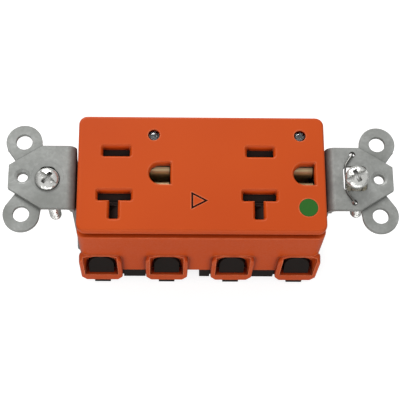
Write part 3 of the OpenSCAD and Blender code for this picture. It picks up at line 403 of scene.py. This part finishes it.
# %% [markdown]
# ## Shapes from outlines
# Most of this device is moulded or stamped, so its shapes are flat outlines carried through
# a few levels. `loft` joins a stack of outlines into one closed skin, `grown` moves an
# outline outwards for a chamfer, and `carve` cuts or joins finished solids exactly.

# %% Mesh helpers
def new_piece(name, mesh):
    obj = bpy.data.objects.new(name, mesh)
    bpy.context.scene.collection.objects.link(obj)
    return obj

def mesh_of(name, corners, faces):
    mesh = bpy.data.meshes.new(name)
    mesh.from_pydata([tuple(v * MM for v in corner) for corner in corners], [], faces)
    shape = bmesh.new()
    shape.from_mesh(mesh)
    bmesh.ops.remove_doubles(shape, verts=shape.verts, dist=1e-7)
    bmesh.ops.recalc_face_normals(shape, faces=shape.faces)
    shape.to_mesh(mesh)
    shape.free()
    return mesh

def loft(name, rings, closed=False):
    """A skin through rings of equal length, capped at both ends, or joined end to start if closed."""
    size = len(rings[0])
    faces = []
    for level in range(len(rings) - (0 if closed else 1)):
        a, b = level * size, (level + 1) % len(rings) * size
        faces += [(a + k, a + (k + 1) % size, b + (k + 1) % size, b + k) for k in range(size)]
    if not closed:
        faces += [tuple(range(size)), tuple(range((len(rings) - 1) * size, len(rings) * size))]
    return mesh_of(name, [corner for ring in rings for corner in ring], faces)

def rounded_outline(length, width, radius, steps=8):
    points = []
    for quarter, (sx, sy) in enumerate(((1, 1), (-1, 1), (-1, -1), (1, -1))):
        for k in range(steps + 1):
            angle = math.pi / 2 * (quarter + k / steps)
            points.append((sx * (length / 2 - radius) + radius * math.cos(angle),
                           sy * (width / 2 - radius) + radius * math.sin(angle)))
    return points

def soft_corners(points, radius, steps=4):
    """Rounds the outward corners of an outline that runs anticlockwise, and keeps the inward ones."""
    result = []
    for i, point in enumerate(points):
        before, here, after = Vector(points[i - 1]), Vector(point), Vector(points[(i + 1) % len(points)])
        a, b = (before - here).normalized(), (after - here).normalized()
        if (here - before).cross(after - here) <= 0:
            result.append(tuple(here))
            continue
        start, end = here + a * radius, here + b * radius
        for k in range(steps + 1):
            t = k / steps
            result.append(tuple((1 - t) ** 2 * start + 2 * t * (1 - t) * here + t * t * end))
    return result

def grown(outline, distance):
    result = []
    for i, point in enumerate(outline):
        before, here, after = Vector(outline[i - 1]), Vector(point), Vector(outline[(i + 1) % len(outline)])
        a, b = (here - before).normalized(), (after - here).normalized()
        out_a, out_b = Vector((a.y, -a.x)), Vector((b.y, -b.x))
        middle = (out_a + out_b).normalized()
        result.append(tuple(here + middle * distance / max(0.3, middle.dot(out_a))))
    return result

def circle(x, y, r, step=6):
    return [(x + r * math.cos(math.radians(a)), y + r * math.sin(math.radians(a)))
            for a in range(0, 360, step)]

def at_height(outline, z):
    return [(x, y, z) for x, y in outline]

def apply_step(obj, step):
    """Makes what a modifier shows the object's own mesh, and removes the modifier."""
    shown = obj.evaluated_get(bpy.context.evaluated_depsgraph_get())
    made = bpy.data.meshes.new_from_object(shown)
    obj.modifiers.remove(step)
    obj.data = made

def carve(target, tool, action):
    step = target.modifiers.new("carve", "BOOLEAN")
    step.operation, step.solver, step.object = action, "EXACT", tool
    apply_step(target, step)
    bpy.data.objects.remove(tool)

def finish_piece(obj, finish, body, stands_for, smooth=35):
    obj.data.materials.clear()
    obj.data.materials.append(finish)
    for face in obj.data.polygons:
        face.use_smooth = True
        face.material_index = 0
    obj.data.set_sharp_from_angle(angle=math.radians(smooth))
    weighted = obj.modifiers.new("even_normals", "WEIGHTED_NORMAL")
    weighted.keep_sharp = True
    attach(obj, body)
    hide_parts(*stands_for)
    print(f"{obj.name}: {len(obj.data.polygons)} faces")
    return obj

# %% [markdown]
# ## What repeats along a row
# Four snap loops hang from each long side of the cover, turned half round on the far side.
# A Geometry Nodes tree places any piece along such a pair of rows: the count, the pitch and
# the piece are its named inputs. The result is turned into a plain mesh before it is used.

# %% Row of pieces on both long sides
def make_row_tree():
    tree = bpy.data.node_groups.new("Both long sides", "GeometryNodeTree")
    ids = {}
    for label, kind, default in (("Count", "NodeSocketInt", 4), ("Pitch", "NodeSocketFloat", 0.02),
                                 ("Piece", "NodeSocketObject", None), ("Finish", "NodeSocketMaterial", None)):
        socket = tree.interface.new_socket(label, in_out="INPUT", socket_type=kind)
        if default is not None:
            socket.default_value = default
        ids[label] = socket.identifier
    tree.interface.new_socket("Geometry", in_out="OUTPUT", socket_type="NodeSocketGeometry")
    inlet, outlet = tree.nodes.new("NodeGroupInput"), tree.nodes.new("NodeGroupOutput")
    gaps = add(tree, "ShaderNodeMath", {0: inlet.outputs["Count"], 1: 1.0}, operation="SUBTRACT").outputs[0]
    span = add(tree, "ShaderNodeMath", {0: gaps, 1: inlet.outputs["Pitch"]}, operation="MULTIPLY").outputs[0]
    half = add(tree, "ShaderNodeMath", {0: span, 1: -0.5}, operation="MULTIPLY").outputs[0]
    start = add(tree, "ShaderNodeCombineXYZ", {"X": half}).outputs[0]
    step = add(tree, "ShaderNodeCombineXYZ", {"X": inlet.outputs["Pitch"]}).outputs[0]
    line = add(tree, "GeometryNodeMeshLine", {"Count": inlet.outputs["Count"], "Start Location": start,
                                              "Offset": step}, mode="OFFSET")
    source = add(tree, "GeometryNodeObjectInfo", {"Object": inlet.outputs["Piece"]})
    near = add(tree, "GeometryNodeInstanceOnPoints", {"Points": line.outputs["Mesh"],
                                                      "Instance": source.outputs["Geometry"]})
    far = add(tree, "GeometryNodeTransform",
              {"Geometry": near.outputs["Instances"], "Rotation": (0, 0, math.pi)})
    both = add(tree, "GeometryNodeJoinGeometry", {"Geometry": near.outputs["Instances"]})
    tree.links.new(far.outputs["Geometry"], both.inputs["Geometry"])
    real = add(tree, "GeometryNodeRealizeInstances", {"Geometry": both.outputs["Geometry"]})
    painted = add(tree, "GeometryNodeSetMaterial", {"Geometry": real.outputs["Geometry"],
                                                    "Material": inlet.outputs["Finish"]})
    tree.links.new(painted.outputs["Geometry"], outlet.inputs["Geometry"])
    return tree, ids

def grow_tree(name, tree, ids, values):
    """Runs a Geometry Nodes tree with the given inputs and returns its result as a plain mesh."""
    carrier = new_piece(name, bpy.data.meshes.new(name))
    step = carrier.modifiers.new("tree", "NODES")
    step.node_group = tree
    for label, value in values.items():
        step[ids[label]] = value
    apply_step(carrier, step)
    return carrier

row_tree, row_ids = make_row_tree()
print("tree inputs:", list(row_ids))

# %% [markdown]
# ## The orange cover
# The real cover is one moulding: a face with rounded edges, a groove under it that the wall
# plate's opening passes, a straight skirt, and eight snap loops. It could be one box with
# bevels, but the face needs a broad round and the skirt a small one, so the shell is lofted
# through rounded outlines, from the middle of the face, over the edge, down the outside and
# back up inside. The loops are joined to it, and the slots are cut with funnel-shaped tools,
# because a real slot's lips are chamfered to guide a blade.

# %% Sizes of the cover
face_l, face_w, face_z, slab_z, corner_r = 66.7, 33.2, 5.4, 3.0, 2.3
groove_d, skirt_top, skirt_end, ledge_z = 1.1, 0.8, -27.1, -0.4
skirt_l, skirt_w, skirt_t = 66.9, 34.2, 1.7
outlet_x = {"left": -23.05, "right": 15.85}
lamp_x = {"left": -12.95, "right": 26.75}
lamp_y, blade_y, ground_shift = 11.1, 6.35, 11.75

def shell_ring(inset, z, l=face_l, w=face_w, r=corner_r):
    return at_height(rounded_outline(l - 2 * inset, w - 2 * inset, max(r - inset, 0.35)), z)

def edge_round(radius, z, downwards, l=face_l, w=face_w, steps=5):
    """Rings of a rounded edge; it starts on the flat above and ends on the wall below, or the other way."""
    rings = []
    for k in range(steps + 1):
        angle = math.pi / 2 * k / steps
        if downwards:
            rings.append(shell_ring(radius * (1 - math.sin(angle)), z - radius * (1 - math.cos(angle)), l, w))
        else:
            rings.append(shell_ring(radius * (1 - math.cos(angle)), z + radius * (1 - math.sin(angle)), l, w))
    return rings

cover_rings = edge_round(0.75, face_z, True)
cover_rings += edge_round(0.25, slab_z, False, steps=3)
cover_rings += [shell_ring(groove_d, slab_z), shell_ring(groove_d, skirt_top)]
cover_rings += edge_round(0.35, skirt_top, True, skirt_l, skirt_w, 4)
cover_rings += edge_round(0.25, skirt_end, False, skirt_l, skirt_w, 3)
cover_rings += [shell_ring(skirt_t, z, skirt_l, skirt_w) for z in (skirt_end, ledge_z)]
slab_inset = 2.4
cover_rings += [shell_ring(slab_inset, ledge_z), shell_ring(slab_inset, slab_z)]
cover = new_piece("front_cover_shell", loft("front_cover_shell", cover_rings))
print("shell of", len(cover_rings), "outlines")

# %% Snap loops
wall_y, loop_y, loop_back_y = skirt_w / 2, 18.6, 16.2
loop_top, loop_end, loop_half = -13.0, -32.2, 5.95
loop_front = [(1.1 - loop_half, loop_top - 1.0), (loop_half - 1.1, loop_top - 1.0),
              (loop_half - 0.3, loop_top - 1.8), (loop_half, loop_top - 3.6),
              (loop_half, loop_end + 2.6), (loop_half - 1.3, loop_end),
              (1.3 - loop_half, loop_end), (-loop_half, loop_end + 2.6),
              (-loop_half, loop_top - 3.6), (0.3 - loop_half, loop_top - 1.8)]
loop_back = [(x, z + (0.9 if z > -20 else 0)) for x, z in loop_front]
loop_mesh = loft("snap_loop", [[(x, -loop_y, z) for x, z in loop_front],
                               [(x, -loop_back_y, z) for x, z in loop_back]])
snap_loop = new_piece("snap_loop", loop_mesh)
soft = snap_loop.modifiers.new("soft", "BEVEL")
soft.width, soft.segments, soft.limit_method = 0.45 * MM, 3, "NONE"
apply_step(snap_loop, soft)

def arch(half, top, bottom, corner):
    """A window outline in X and Z: square below, with round upper corners."""
    points = [(-half, bottom), (half, bottom)]
    for side in (1, -1):
        for k in range(8):
            angle = math.pi / 2 * (k / 7 if side > 0 else 1 + k / 7)
            points.append((side * (half - corner) + corner * math.cos(angle),
                           top - corner + corner * math.sin(angle)))
        if side > 0:
            points.append((0.0, top))
    return points

bar_top, dome_half, dome_top = -27.2, 3.8, -19.35
bead_y = wall_y + 0.65
window_levels = [(-loop_y - 1, arch(4.8, -11.5, bar_top, 1.5)),
                 (-bead_y - 0.01, arch(4.7, -11.6, bar_top, 1.5)),
                 (-bead_y, arch(4.65, -13.45, bar_top, 1.5)),
                 (-wall_y, arch(4.5, -14.0, bar_top, 1.6)),
                 (0.75 - wall_y, arch(4.3, -15.0, bar_top, 1.9)),
                 (1.5 - wall_y, arch(dome_half, dome_top, bar_top, 3.3)),
                 (4 - wall_y, arch(dome_half, dome_top, bar_top, 3.3))]
window_rings = [[(x, y, z) for x, z in ring] for y, ring in window_levels]
loop_window = new_piece("loop_window", loft("loop_window", window_rings))

for piece_name, source, action in (("loops", snap_loop, "UNION"), ("windows", loop_window, "DIFFERENCE")):
    row = grow_tree(piece_name, row_tree, row_ids, {"Count": 4, "Pitch": 18.6 * MM, "Piece": source,
                                                    "Finish": orange_cover})
    bpy.data.objects.remove(source)
    carve(cover, row, action)
    print(piece_name, "->", len(cover.data.polygons), "faces")

# %% Slots, holes and marks in the face
hot_outline = soft_corners([(-3.6, 5.15), (3.6, 5.15), (3.6, 7.55), (-3.6, 7.55)], 0.25)
tee_outline = soft_corners([(-1.7, -12.75), (0.7, -12.75), (0.7, -7.55), (4.1, -7.55), (4.1, -5.15),
                            (-4.8, -5.15), (-4.8, -7.55), (-1.7, -7.55)], 0.25)
ground_half, ground_r = 2.85, 3.0
ground_arc = [(-ground_half + ground_r + ground_r * math.cos(math.radians(a)),
               ground_r * math.sin(math.radians(a))) for a in range(90, 271, 10)]
ground_outline = soft_corners([(ground_half, -ground_r), (ground_half, ground_r)], 0.0, 0) + ground_arc
lamp_hole_r = 1.55
lamp_outline = circle(0, 0, lamp_hole_r, 10)
# Lip of a slot: how far it is grown at each depth below the face
blade_lip = [(0.9, -0.3), (0.85, 0.0), (0.62, 0.10), (0.36, 0.38), (0.14, 0.75), (0.0, 1.1), (0.0, 3.0)]
ground_lip = [(0.6, -0.3), (0.55, 0.0), (0.38, 0.08), (0.16, 0.32), (0.04, 0.6), (0.0, 0.8), (0.0, 3.0)]
lamp_lip = [(0.25, -0.3), (0.2, 0.0), (0.1, 0.05), (0.0, 0.2), (0.0, 3.0)]

def slot_tool(outline, lip, x, y):
    return new_piece("slot_tool", loft("slot_tool", [
        [(px + x, py + y, face_z - depth) for px, py in grown(outline, grow)] for grow, depth in lip]))

for side in ("left", "right"):
    for outline, lip, x, y in ((hot_outline, blade_lip, outlet_x[side], 0),
                               (tee_outline, blade_lip, outlet_x[side], 0),
                               (ground_outline, ground_lip, outlet_x[side] + ground_shift, 0),
                               (lamp_outline, lamp_lip, lamp_x[side], lamp_y)):
        carve(cover, slot_tool(outline, lip, x, y), "DIFFERENCE")

mark_depth, dot_x, dot_y, dot_r = 0.26, 28.45, -9.7, 2.5
triangle = [(-2.83, -7.85 - 2.45), (1.67, -7.85), (-2.83, -7.85 + 2.45)]
inner_triangle = [(-2.32, -7.85 - 1.62), (0.66, -7.85), (-2.32, -7.85 + 1.62)]
recess = loft("mark_recess", [at_height(triangle, face_z + 0.5), at_height(triangle, face_z - mark_depth)])
carve(cover, new_piece("mark_recess", recess), "DIFFERENCE")
island = loft("mark_island", [at_height(inner_triangle, z) for z in (face_z, face_z - mark_depth - 0.2)])
carve(cover, new_piece("mark_island", island), "UNION")
dot_round = circle(dot_x, dot_y, dot_r + 0.06)
dot_recess = loft("dot_recess", [at_height(dot_round, z) for z in (face_z + 0.5, face_z - mark_depth)])
carve(cover, new_piece("dot_recess", dot_recess), "DIFFERENCE")
finish_piece(cover, orange_cover, "receptacle", ["front_cover"])

# %% [markdown]
# ## Stamped and moulded parts with soft edges
# A sharp edge never catches the light, and no stamped or moulded part has one. For the parts
# whose solid shape is already right, the shape is copied, its loose triangles are merged
# into whole faces, and a small bevel is run along every real edge. Modelling them again by
# hand would only risk a different size.

# %% Copies with softened edges
def softened(node, edge):
    shape = bmesh.new()
    shape.from_mesh(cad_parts[node].data)
    bmesh.ops.remove_doubles(shape, verts=shape.verts, dist=2e-6)
    bmesh.ops.dissolve_limit(shape, angle_limit=math.radians(1), verts=shape.verts, edges=shape.edges)
    mesh = bpy.data.meshes.new(node + "_soft")
    shape.to_mesh(mesh)
    shape.free()
    obj = new_piece(node + "_soft", mesh)
    bevel = obj.modifiers.new("edge", "BEVEL")
    bevel.width, bevel.segments = edge * MM, 2
    bevel.limit_method, bevel.angle_limit = "ANGLE", math.radians(30)
    bevel.use_clamp_overlap = False
    apply_step(obj, bevel)
    return obj

# The left screw's head has pressed its own seat into the strap, so the seat's round recess is
# filled up to a close pocket round the head.
def close_seat(strap):
    seat_x, seat_r, seat_z, top_z = -41.67, 4.34, 1.68, 2.2
    pocket_x, pocket_y, pocket_r = seat_x + 0.06, -0.7, 3.34
    def disc(x, y, r, z0, z1):
        return new_piece("disc", loft("disc", [at_height(circle(x, y, r), z) for z in (z0, z1)]))
    filling = disc(seat_x, 0, seat_r, seat_z, top_z)
    carve(filling, disc(pocket_x, pocket_y, pocket_r, seat_z - 1, top_z + 1), "DIFFERENCE")
    slot_x, slot_y = 2.3, 2.9
    slot = soft_corners([(seat_x - slot_x, -slot_y), (seat_x + slot_x, -slot_y),
                         (seat_x + slot_x, slot_y), (seat_x - slot_x, slot_y)], 2.0, 6)
    carve(filling, new_piece("slot", loft("slot", [at_height(slot, 0), at_height(slot, 4)])), "DIFFERENCE")
    carve(strap, filling, "UNION")

# node, softness in mm, finish, record's slot, body
SOFT_PARTS = [("base_housing", 0.14, black_base, "black_housing", "receptacle"),
              ("mounting_strap", 0.10, strap_zinc, "galvanised_steel", "receptacle"),
              ("left_shutter", 0.12, shutter_black, "shutter_plastic", "left_slot_shutter"),
              ("right_shutter", 0.12, shutter_black, "shutter_plastic", "right_slot_shutter"),
              ("left_stem_gate", 0.12, shutter_black, "shutter_plastic", "left_tee_gate"),
              ("right_stem_gate", 0.12, shutter_black, "shutter_plastic", "right_tee_gate"),
              ("left_shutter_frame", 0.08, shutter_black, "shutter_plastic", "receptacle"),
              ("right_shutter_frame", 0.08, shutter_black, "shutter_plastic", "receptacle"),
              ("hot_contact_bar", 0.07, contact_brass, "contact_brass", "receptacle"),
              ("neutral_contact_bar", 0.07, contact_brass, "contact_brass", "receptacle"),
              ("hot_terminal_blade", 0.1, blade_nickel, "plated_blade", "receptacle"),
              ("neutral_terminal_blade", 0.1, blade_nickel, "plated_blade", "receptacle"),
              ("ground_terminal_blade", 0.1, blade_nickel, "plated_blade", "receptacle"),
              ("left_ground_spring_clip", 0.06, wire_steel, "spring_wire", "receptacle"),
              ("right_ground_spring_clip", 0.06, wire_steel, "spring_wire", "receptacle"),
              ("left_screw_keeper", 0.15, keeper_nylon, "keeper_nylon", "left_keeper"),
              ("right_screw_keeper", 0.15, keeper_nylon, "keeper_nylon", "right_keeper"),
              ("strap_rivets", 0.1, screw_zinc, "plated_steel", "receptacle"),
              ("lamp_circuit_board", 0.05, board_green, "circuit_board", "receptacle"),
              ("hospital_dot", 0.08, dot_green, "green_dot", "receptacle")]
for node, edge, finish, slot_name, body in SOFT_PARTS:
    part = softened(node, edge)
    if node == "mounting_strap":
        close_seat(part)
    finish_piece(part, finish, body, [node])

# %% Solid parts that keep their own shape
for node, finish in (("left_lamp", lamp_epoxy), ("right_lamp", lamp_epoxy), ("lamp_resistors", resistor_tan),
                     ("lamp_hot_lead", lead_black), ("lamp_neutral_lead", lead_white),
                     ("isolated_ground_mark", mark_ink)):
    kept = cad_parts[node]
    kept.data.materials.clear()
    kept.data.materials.append(finish)
print("kept as they are: lamps, resistors, leads and the printed triangle")

# %% [markdown]
# ## Mounting screws
# The screws are the brightest things on the device, and their threads show below the strap.
# The head is a turned profile with a slot and a cross pressed into it. The thread is one
# closed skin: rings of points up the shank whose radius follows a triangular wave that
# climbs once round per turn, which gives a real helix with no overlapping parts. The right
# screw stands raised and leans outwards in its slot, so each is built upright and then
# carried to its place by one matrix.

# %% Screw shape
def turned(name, profile, steps=48):
    """A solid of revolution about Z from (radius, height) pairs, first and last on the axis."""
    turns = [2 * math.pi * k / steps for k in range(steps)]
    rings = [[(r * math.cos(a), r * math.sin(a), z) for a in turns] for r, z in profile if r > 0]
    return new_piece(name, loft(name, rings))

def threaded_shank(name, top, bottom, outer, depth, pitch, around=24, per_turn=8):
    rings = []
    levels = int((top - bottom) / pitch * per_turn)
    for level in range(levels + 1):
        z = top - (top - bottom) * level / levels
        fade = min(1.0, (top - z) / pitch + 0.05, (z - bottom) / (1.5 * pitch) + 0.15)
        ring = []
        for k in range(around):
            phase = (z / pitch - k / around) % 1.0
            crest = 1 - abs(2 * phase - 1)
            r = outer - depth + depth * fade * min(1.0, 1.25 * crest)
            r -= 0.7 * max(0.0, 1 - (z - bottom) / 1.2) ** 2
            ring.append((r * math.cos(2 * math.pi * k / around), r * math.sin(2 * math.pi * k / around), z))
        rings.append(ring)
    return loft(name, rings)

head_r, head_h, neck_r, neck_l, screw_l, screw_r = 3.2, 2.15, 1.45, 9.8, 28.4, 1.75
shoulder_r, shoulder_h, flank_h = 2.45, 2.3, 0.75
thread_depth, thread_pitch = 0.3, 0.794

def make_screw(name, place, body, node, slot_angle):
    profile = [(shoulder_r - 0.2, -shoulder_h), (shoulder_r, -shoulder_h + 0.2), (shoulder_r, -0.12),
               (shoulder_r + 0.1, 0.0), (head_r - 0.15, 0.0), (head_r - 0.03, 0.08), (head_r, 0.25),
               (head_r, flank_h)]
    profile += [(head_r * math.cos(a), flank_h + (head_h - flank_h) * math.sin(a))
                for a in (math.radians(d) for d in range(8, 89, 8))] + [(0.05, head_h)]
    head = turned("screw_head", profile)
    slot_half, cross_half = 0.55, 0.48
    for length, half, depth in ((head_r * 2.2, slot_half, 0.95), (3.6, cross_half, 1.25)):
        across = soft_corners([(-length / 2, -half), (length / 2, -half),
                               (length / 2, half), (-length / 2, half)], 0.1)
        turn = math.pi / 2 if length < 5 else 0.0
        rings = []
        for grow, z in ((0.22, head_h + 0.4), (0.12, head_h - 0.25), (0.0, head_h - 0.45),
                        (-0.06, head_h - depth)):
            rings.append([(x * math.cos(turn) - y * math.sin(turn),
                           x * math.sin(turn) + y * math.cos(turn), z) for x, y in grown(across, grow)])
        carve(head, new_piece("driver_slot", loft("driver_slot", rings)), "DIFFERENCE")
    head.data.transform(Matrix.Rotation(slot_angle, 4, "Z"))
    shank = bmesh.new()
    shank.from_mesh(head.data)
    shank.from_mesh(threaded_shank("thread", -neck_l, -screw_l, screw_r, thread_depth, thread_pitch))
    neck_profile = [(neck_r - 0.05, -neck_l - 0.2), (neck_r, -neck_l), (neck_r, -shoulder_h + 0.1),
                    (neck_r - 0.1, -1.0)]
    neck = turned("neck", neck_profile, 32)
    shank.from_mesh(neck.data)
    bpy.data.objects.remove(neck)
    mesh = bpy.data.meshes.new(name)
    shank.to_mesh(mesh)
    shank.free()
    bpy.data.objects.remove(head)
    mesh.transform(Matrix.Translation(place[0] * MM) @ place[1])
    return finish_piece(new_piece(name, mesh), screw_zinc, body, [node], smooth=32)

left_place = (Vector((-41.67, -0.8, 1.71)), Matrix.Identity(4))
lean = Matrix.Rotation(math.radians(-7.5), 4, "Y")
right_place = (Vector((42.27, -0.8, 2.2)) + lean.to_3x3() @ Vector((0, 0, 2.4)), lean)
make_screw("left_screw_turned", left_place, "left_screw", "left_mounting_screw", math.radians(-38))
make_screw("right_screw_turned", right_place, "right_screw", "right_mounting_screw", math.radians(24))

# %% [markdown]
# ## Springs and wires
# A coil spring is a wire that follows a helix, the plainest use of a Geometry Nodes path:
# one tree sweeps a round wire along a spiral, and its named inputs give each spring its
# length, turns and wire. The bent wire that grounds the right screw follows a line of
# corners instead, so it is a curve with rounded corners and the same round section.

# %% Coil springs
def make_coil_tree():
    tree = bpy.data.node_groups.new("Coil spring", "GeometryNodeTree")
    ids = {}
    for label, kind, default in (
            ("Length", "NodeSocketFloat", 0.006), ("Coil Radius", "NodeSocketFloat", 0.001),
            ("Wire Radius", "NodeSocketFloat", 0.00015), ("Turns", "NodeSocketFloat", 5.0),
            ("Finish", "NodeSocketMaterial", None)):
        socket = tree.interface.new_socket(label, in_out="INPUT", socket_type=kind)
        if default is not None:
            socket.default_value = default
        ids[label] = socket.identifier
    tree.interface.new_socket("Geometry", in_out="OUTPUT", socket_type="NodeSocketGeometry")
    inlet, outlet = tree.nodes.new("NodeGroupInput"), tree.nodes.new("NodeGroupOutput")
    path = add(tree, "GeometryNodeCurveSpiral", {
        "Resolution": 28, "Rotations": inlet.outputs["Turns"], "Start Radius": inlet.outputs["Coil Radius"],
        "End Radius": inlet.outputs["Coil Radius"], "Height": inlet.outputs["Length"]})
    wire = add(tree, "GeometryNodeCurvePrimitiveCircle",
               {"Resolution": 10, "Radius": inlet.outputs["Wire Radius"]})
    swept = add(tree, "GeometryNodeCurveToMesh", {"Curve": path.outputs[0], "Profile Curve": wire.outputs[0],
                                                  "Fill Caps": True})
    real = add(tree, "GeometryNodeRealizeInstances", {"Geometry": swept.outputs[0]})
    painted = add(tree, "GeometryNodeSetMaterial",
                  {"Geometry": real.outputs[0], "Material": inlet.outputs["Finish"]})
    tree.links.new(painted.outputs[0], outlet.inputs["Geometry"])
    return tree, ids

coil_tree, coil_ids = make_coil_tree()
coil_r, coil_wire = 0.95, 0.15
for node, axis, turns in (("left_shutter_spring", "Y", 5), ("right_shutter_spring", "Y", 5),
                          ("left_gate_spring", "X", 4), ("right_gate_spring", "X", 4)):
    low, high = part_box(node)
    centre = (low + high) / 2
    length = (high - low)["XY".index(axis)] - 2 * coil_wire * MM
    spring = grow_tree(node + "_coil", coil_tree, coil_ids, {
        "Length": length, "Coil Radius": coil_r * MM, "Wire Radius": coil_wire * MM, "Turns": float(turns),
        "Finish": wire_steel})
    upright = Matrix.Translation((0, 0, -length / 2))
    tip = Matrix.Rotation(math.radians(90), 4, "Y" if axis == "X" else "X")
    spring.data.transform(Matrix.Translation(centre) @ tip @ upright)
    finish_piece(spring, wire_steel, "receptacle", [node], smooth=60)

# %% Wire that grounds the right screw
def swept_wire(name, points, radius, sides=14):
    """A round wire through points in mm; each ring is carried along the path so that it never twists."""
    ring_of, direction = [], None
    for i, point in enumerate(points):
        ahead = (points[min(i + 1, len(points) - 1)] - points[max(i - 1, 0)]).normalized()
        direction = direction or ahead.orthogonal()
        direction = (direction - ahead * direction.dot(ahead)).normalized()
        side = ahead.cross(direction)
        ring_of.append([tuple(point + radius * (math.cos(a) * direction + math.sin(a) * side))
                        for a in (2 * math.pi * k / sides for k in range(sides))])
    return new_piece(name, loft(name, ring_of))

def rounded_path(corners, radius, steps=6):
    path = [corners[0]]
    for before, here, after in zip(corners, corners[1:], corners[2:]):
        start = here + (before - here).normalized() * radius
        end = here + (after - here).normalized() * radius
        path += [(1 - t) ** 2 * start + 2 * t * (1 - t) * here + t * t * end
                 for t in (k / steps for k in range(steps + 1))]
    return path + [corners[-1]]

wire_r, on_strap, in_slot, under_strap = 0.26, 2.55, 1.35, 0.45
hook_x, hook_y, bow_x, dip_y = 41.32, 7.0, 39.35, 3.15
half_wire = [(hook_x + 1.5, hook_y, under_strap), (hook_x, hook_y, under_strap), (hook_x, hook_y, on_strap),
             (bow_x, dip_y + 0.9, on_strap), (bow_x - 0.1, dip_y, on_strap),
             (bow_x - 0.1, dip_y - 0.7, in_slot)]
clip_corners = [Vector(p) for p in half_wire] + [Vector((bow_x, 0, in_slot))]
clip_corners += [Vector((x, -y, z)) for x, y, z in reversed(half_wire)]
finish_piece(swept_wire("ground_clip", rounded_path(clip_corners, 0.38), wire_r), wire_steel, "receptacle",
             ["ground_clip_wire"], smooth=60)

# %% [markdown]
# ## Ground contacts
# Through each ground hole the far leaf of the ground contact shows. A real leaf is bowed,
# so that it presses on the pin, and flared at its mouth, and that bow is what catches one
# band of light in the hole. A flat leaf would only look like a dark board. Each leaf is a
# strip that follows a curved side profile; the bar below them stays flat.

# %% Bowed leaves on their bar
def bowed_leaf(x, side, half_length=2.6, gap=2.2, thick=0.6):
    heights = [2.6, 2.5, 2.3, 2.0, 1.6, 1.1, 0.4, -0.6, -2.0, -4.0, -6.6, -9.0, -12.0, -15.0, -17.0]
    bows = [0.1, -0.15, -0.45, -0.75, -1.0, -1.15, -1.2, -1.1, -0.85, -0.5, -0.2, 0.0, 0.05, 0.05, 0.05]
    inner = [(side * (gap + bow), z) for bow, z in zip(bows, heights)]
    outer = [(y + side * thick, z) for y, z in reversed(inner)]
    profile = inner + outer
    return loft("leaf", [[(end, y, z) for y, z in profile] for end in (x - half_length, x + half_length)])

contacts = bmesh.new()
for side in ("left", "right"):
    for s in (-1, 1):
        contacts.from_mesh(bowed_leaf(outlet_x[side] + ground_shift, s))
bar_low, bar_high = -17.6, -16.8
bar_ends = (outlet_x["left"] + ground_shift - 2.6, outlet_x["right"] + ground_shift + 2.6)
bar = rounded_outline(bar_ends[1] - bar_ends[0], 5.6, 0.4, 4)
bar = [(x + sum(bar_ends) / 2, y) for x, y in bar]
bar_levels = ((-0.1, bar_high), (0, bar_high - 0.1), (0, bar_low + 0.1), (-0.1, bar_low))
contacts.from_mesh(loft("bar", [at_height(grown(bar, g), z) for g, z in bar_levels]))
contact_mesh = bpy.data.meshes.new("ground_contacts")
contacts.to_mesh(contact_mesh)
contacts.free()
ground_contacts = new_piece("ground_contacts", contact_mesh)
finish_piece(ground_contacts, contact_brass, "receptacle", ["ground_contact_bar"], smooth=50)

# %% [markdown]
# ## Indicator lenses
# Each indicator is a clear plug pushed into the face from behind. It ends a little below the
# face in a shallow dome, which gathers the lights into one small highlight. It is turned
# about its own axis, as the real one is moulded, and stands on its small flange.

# %% Lenses
lens_r, lens_flange_r, lens_low, lens_top = 1.53, 2.0, -3.7, 4.95
lens_profile = [(lens_r - 0.1, lens_low), (lens_r, lens_low + 0.1), (lens_r, 2.0),
                (lens_flange_r - 0.05, 2.0),
                (lens_flange_r, 2.06), (lens_flange_r, 2.94), (lens_flange_r - 0.05, 2.99), (lens_r, 2.99)]
dome_rise = 0.75
lens_profile += [(lens_r * math.cos(a), lens_top - dome_rise + dome_rise * math.sin(a))
                 for a in (math.radians(d) for d in range(0, 88, 8))] + [(0.02, lens_top)]
for side in ("left", "right"):
    lens = turned(side + "_lens_dome", lens_profile, 36)
    lens.data.transform(Matrix.Translation((lamp_x[side] * MM, lamp_y * MM, 0)))
    finish_piece(lens, lens_clear, "receptacle", [side + "_lamp_lens"], smooth=50)
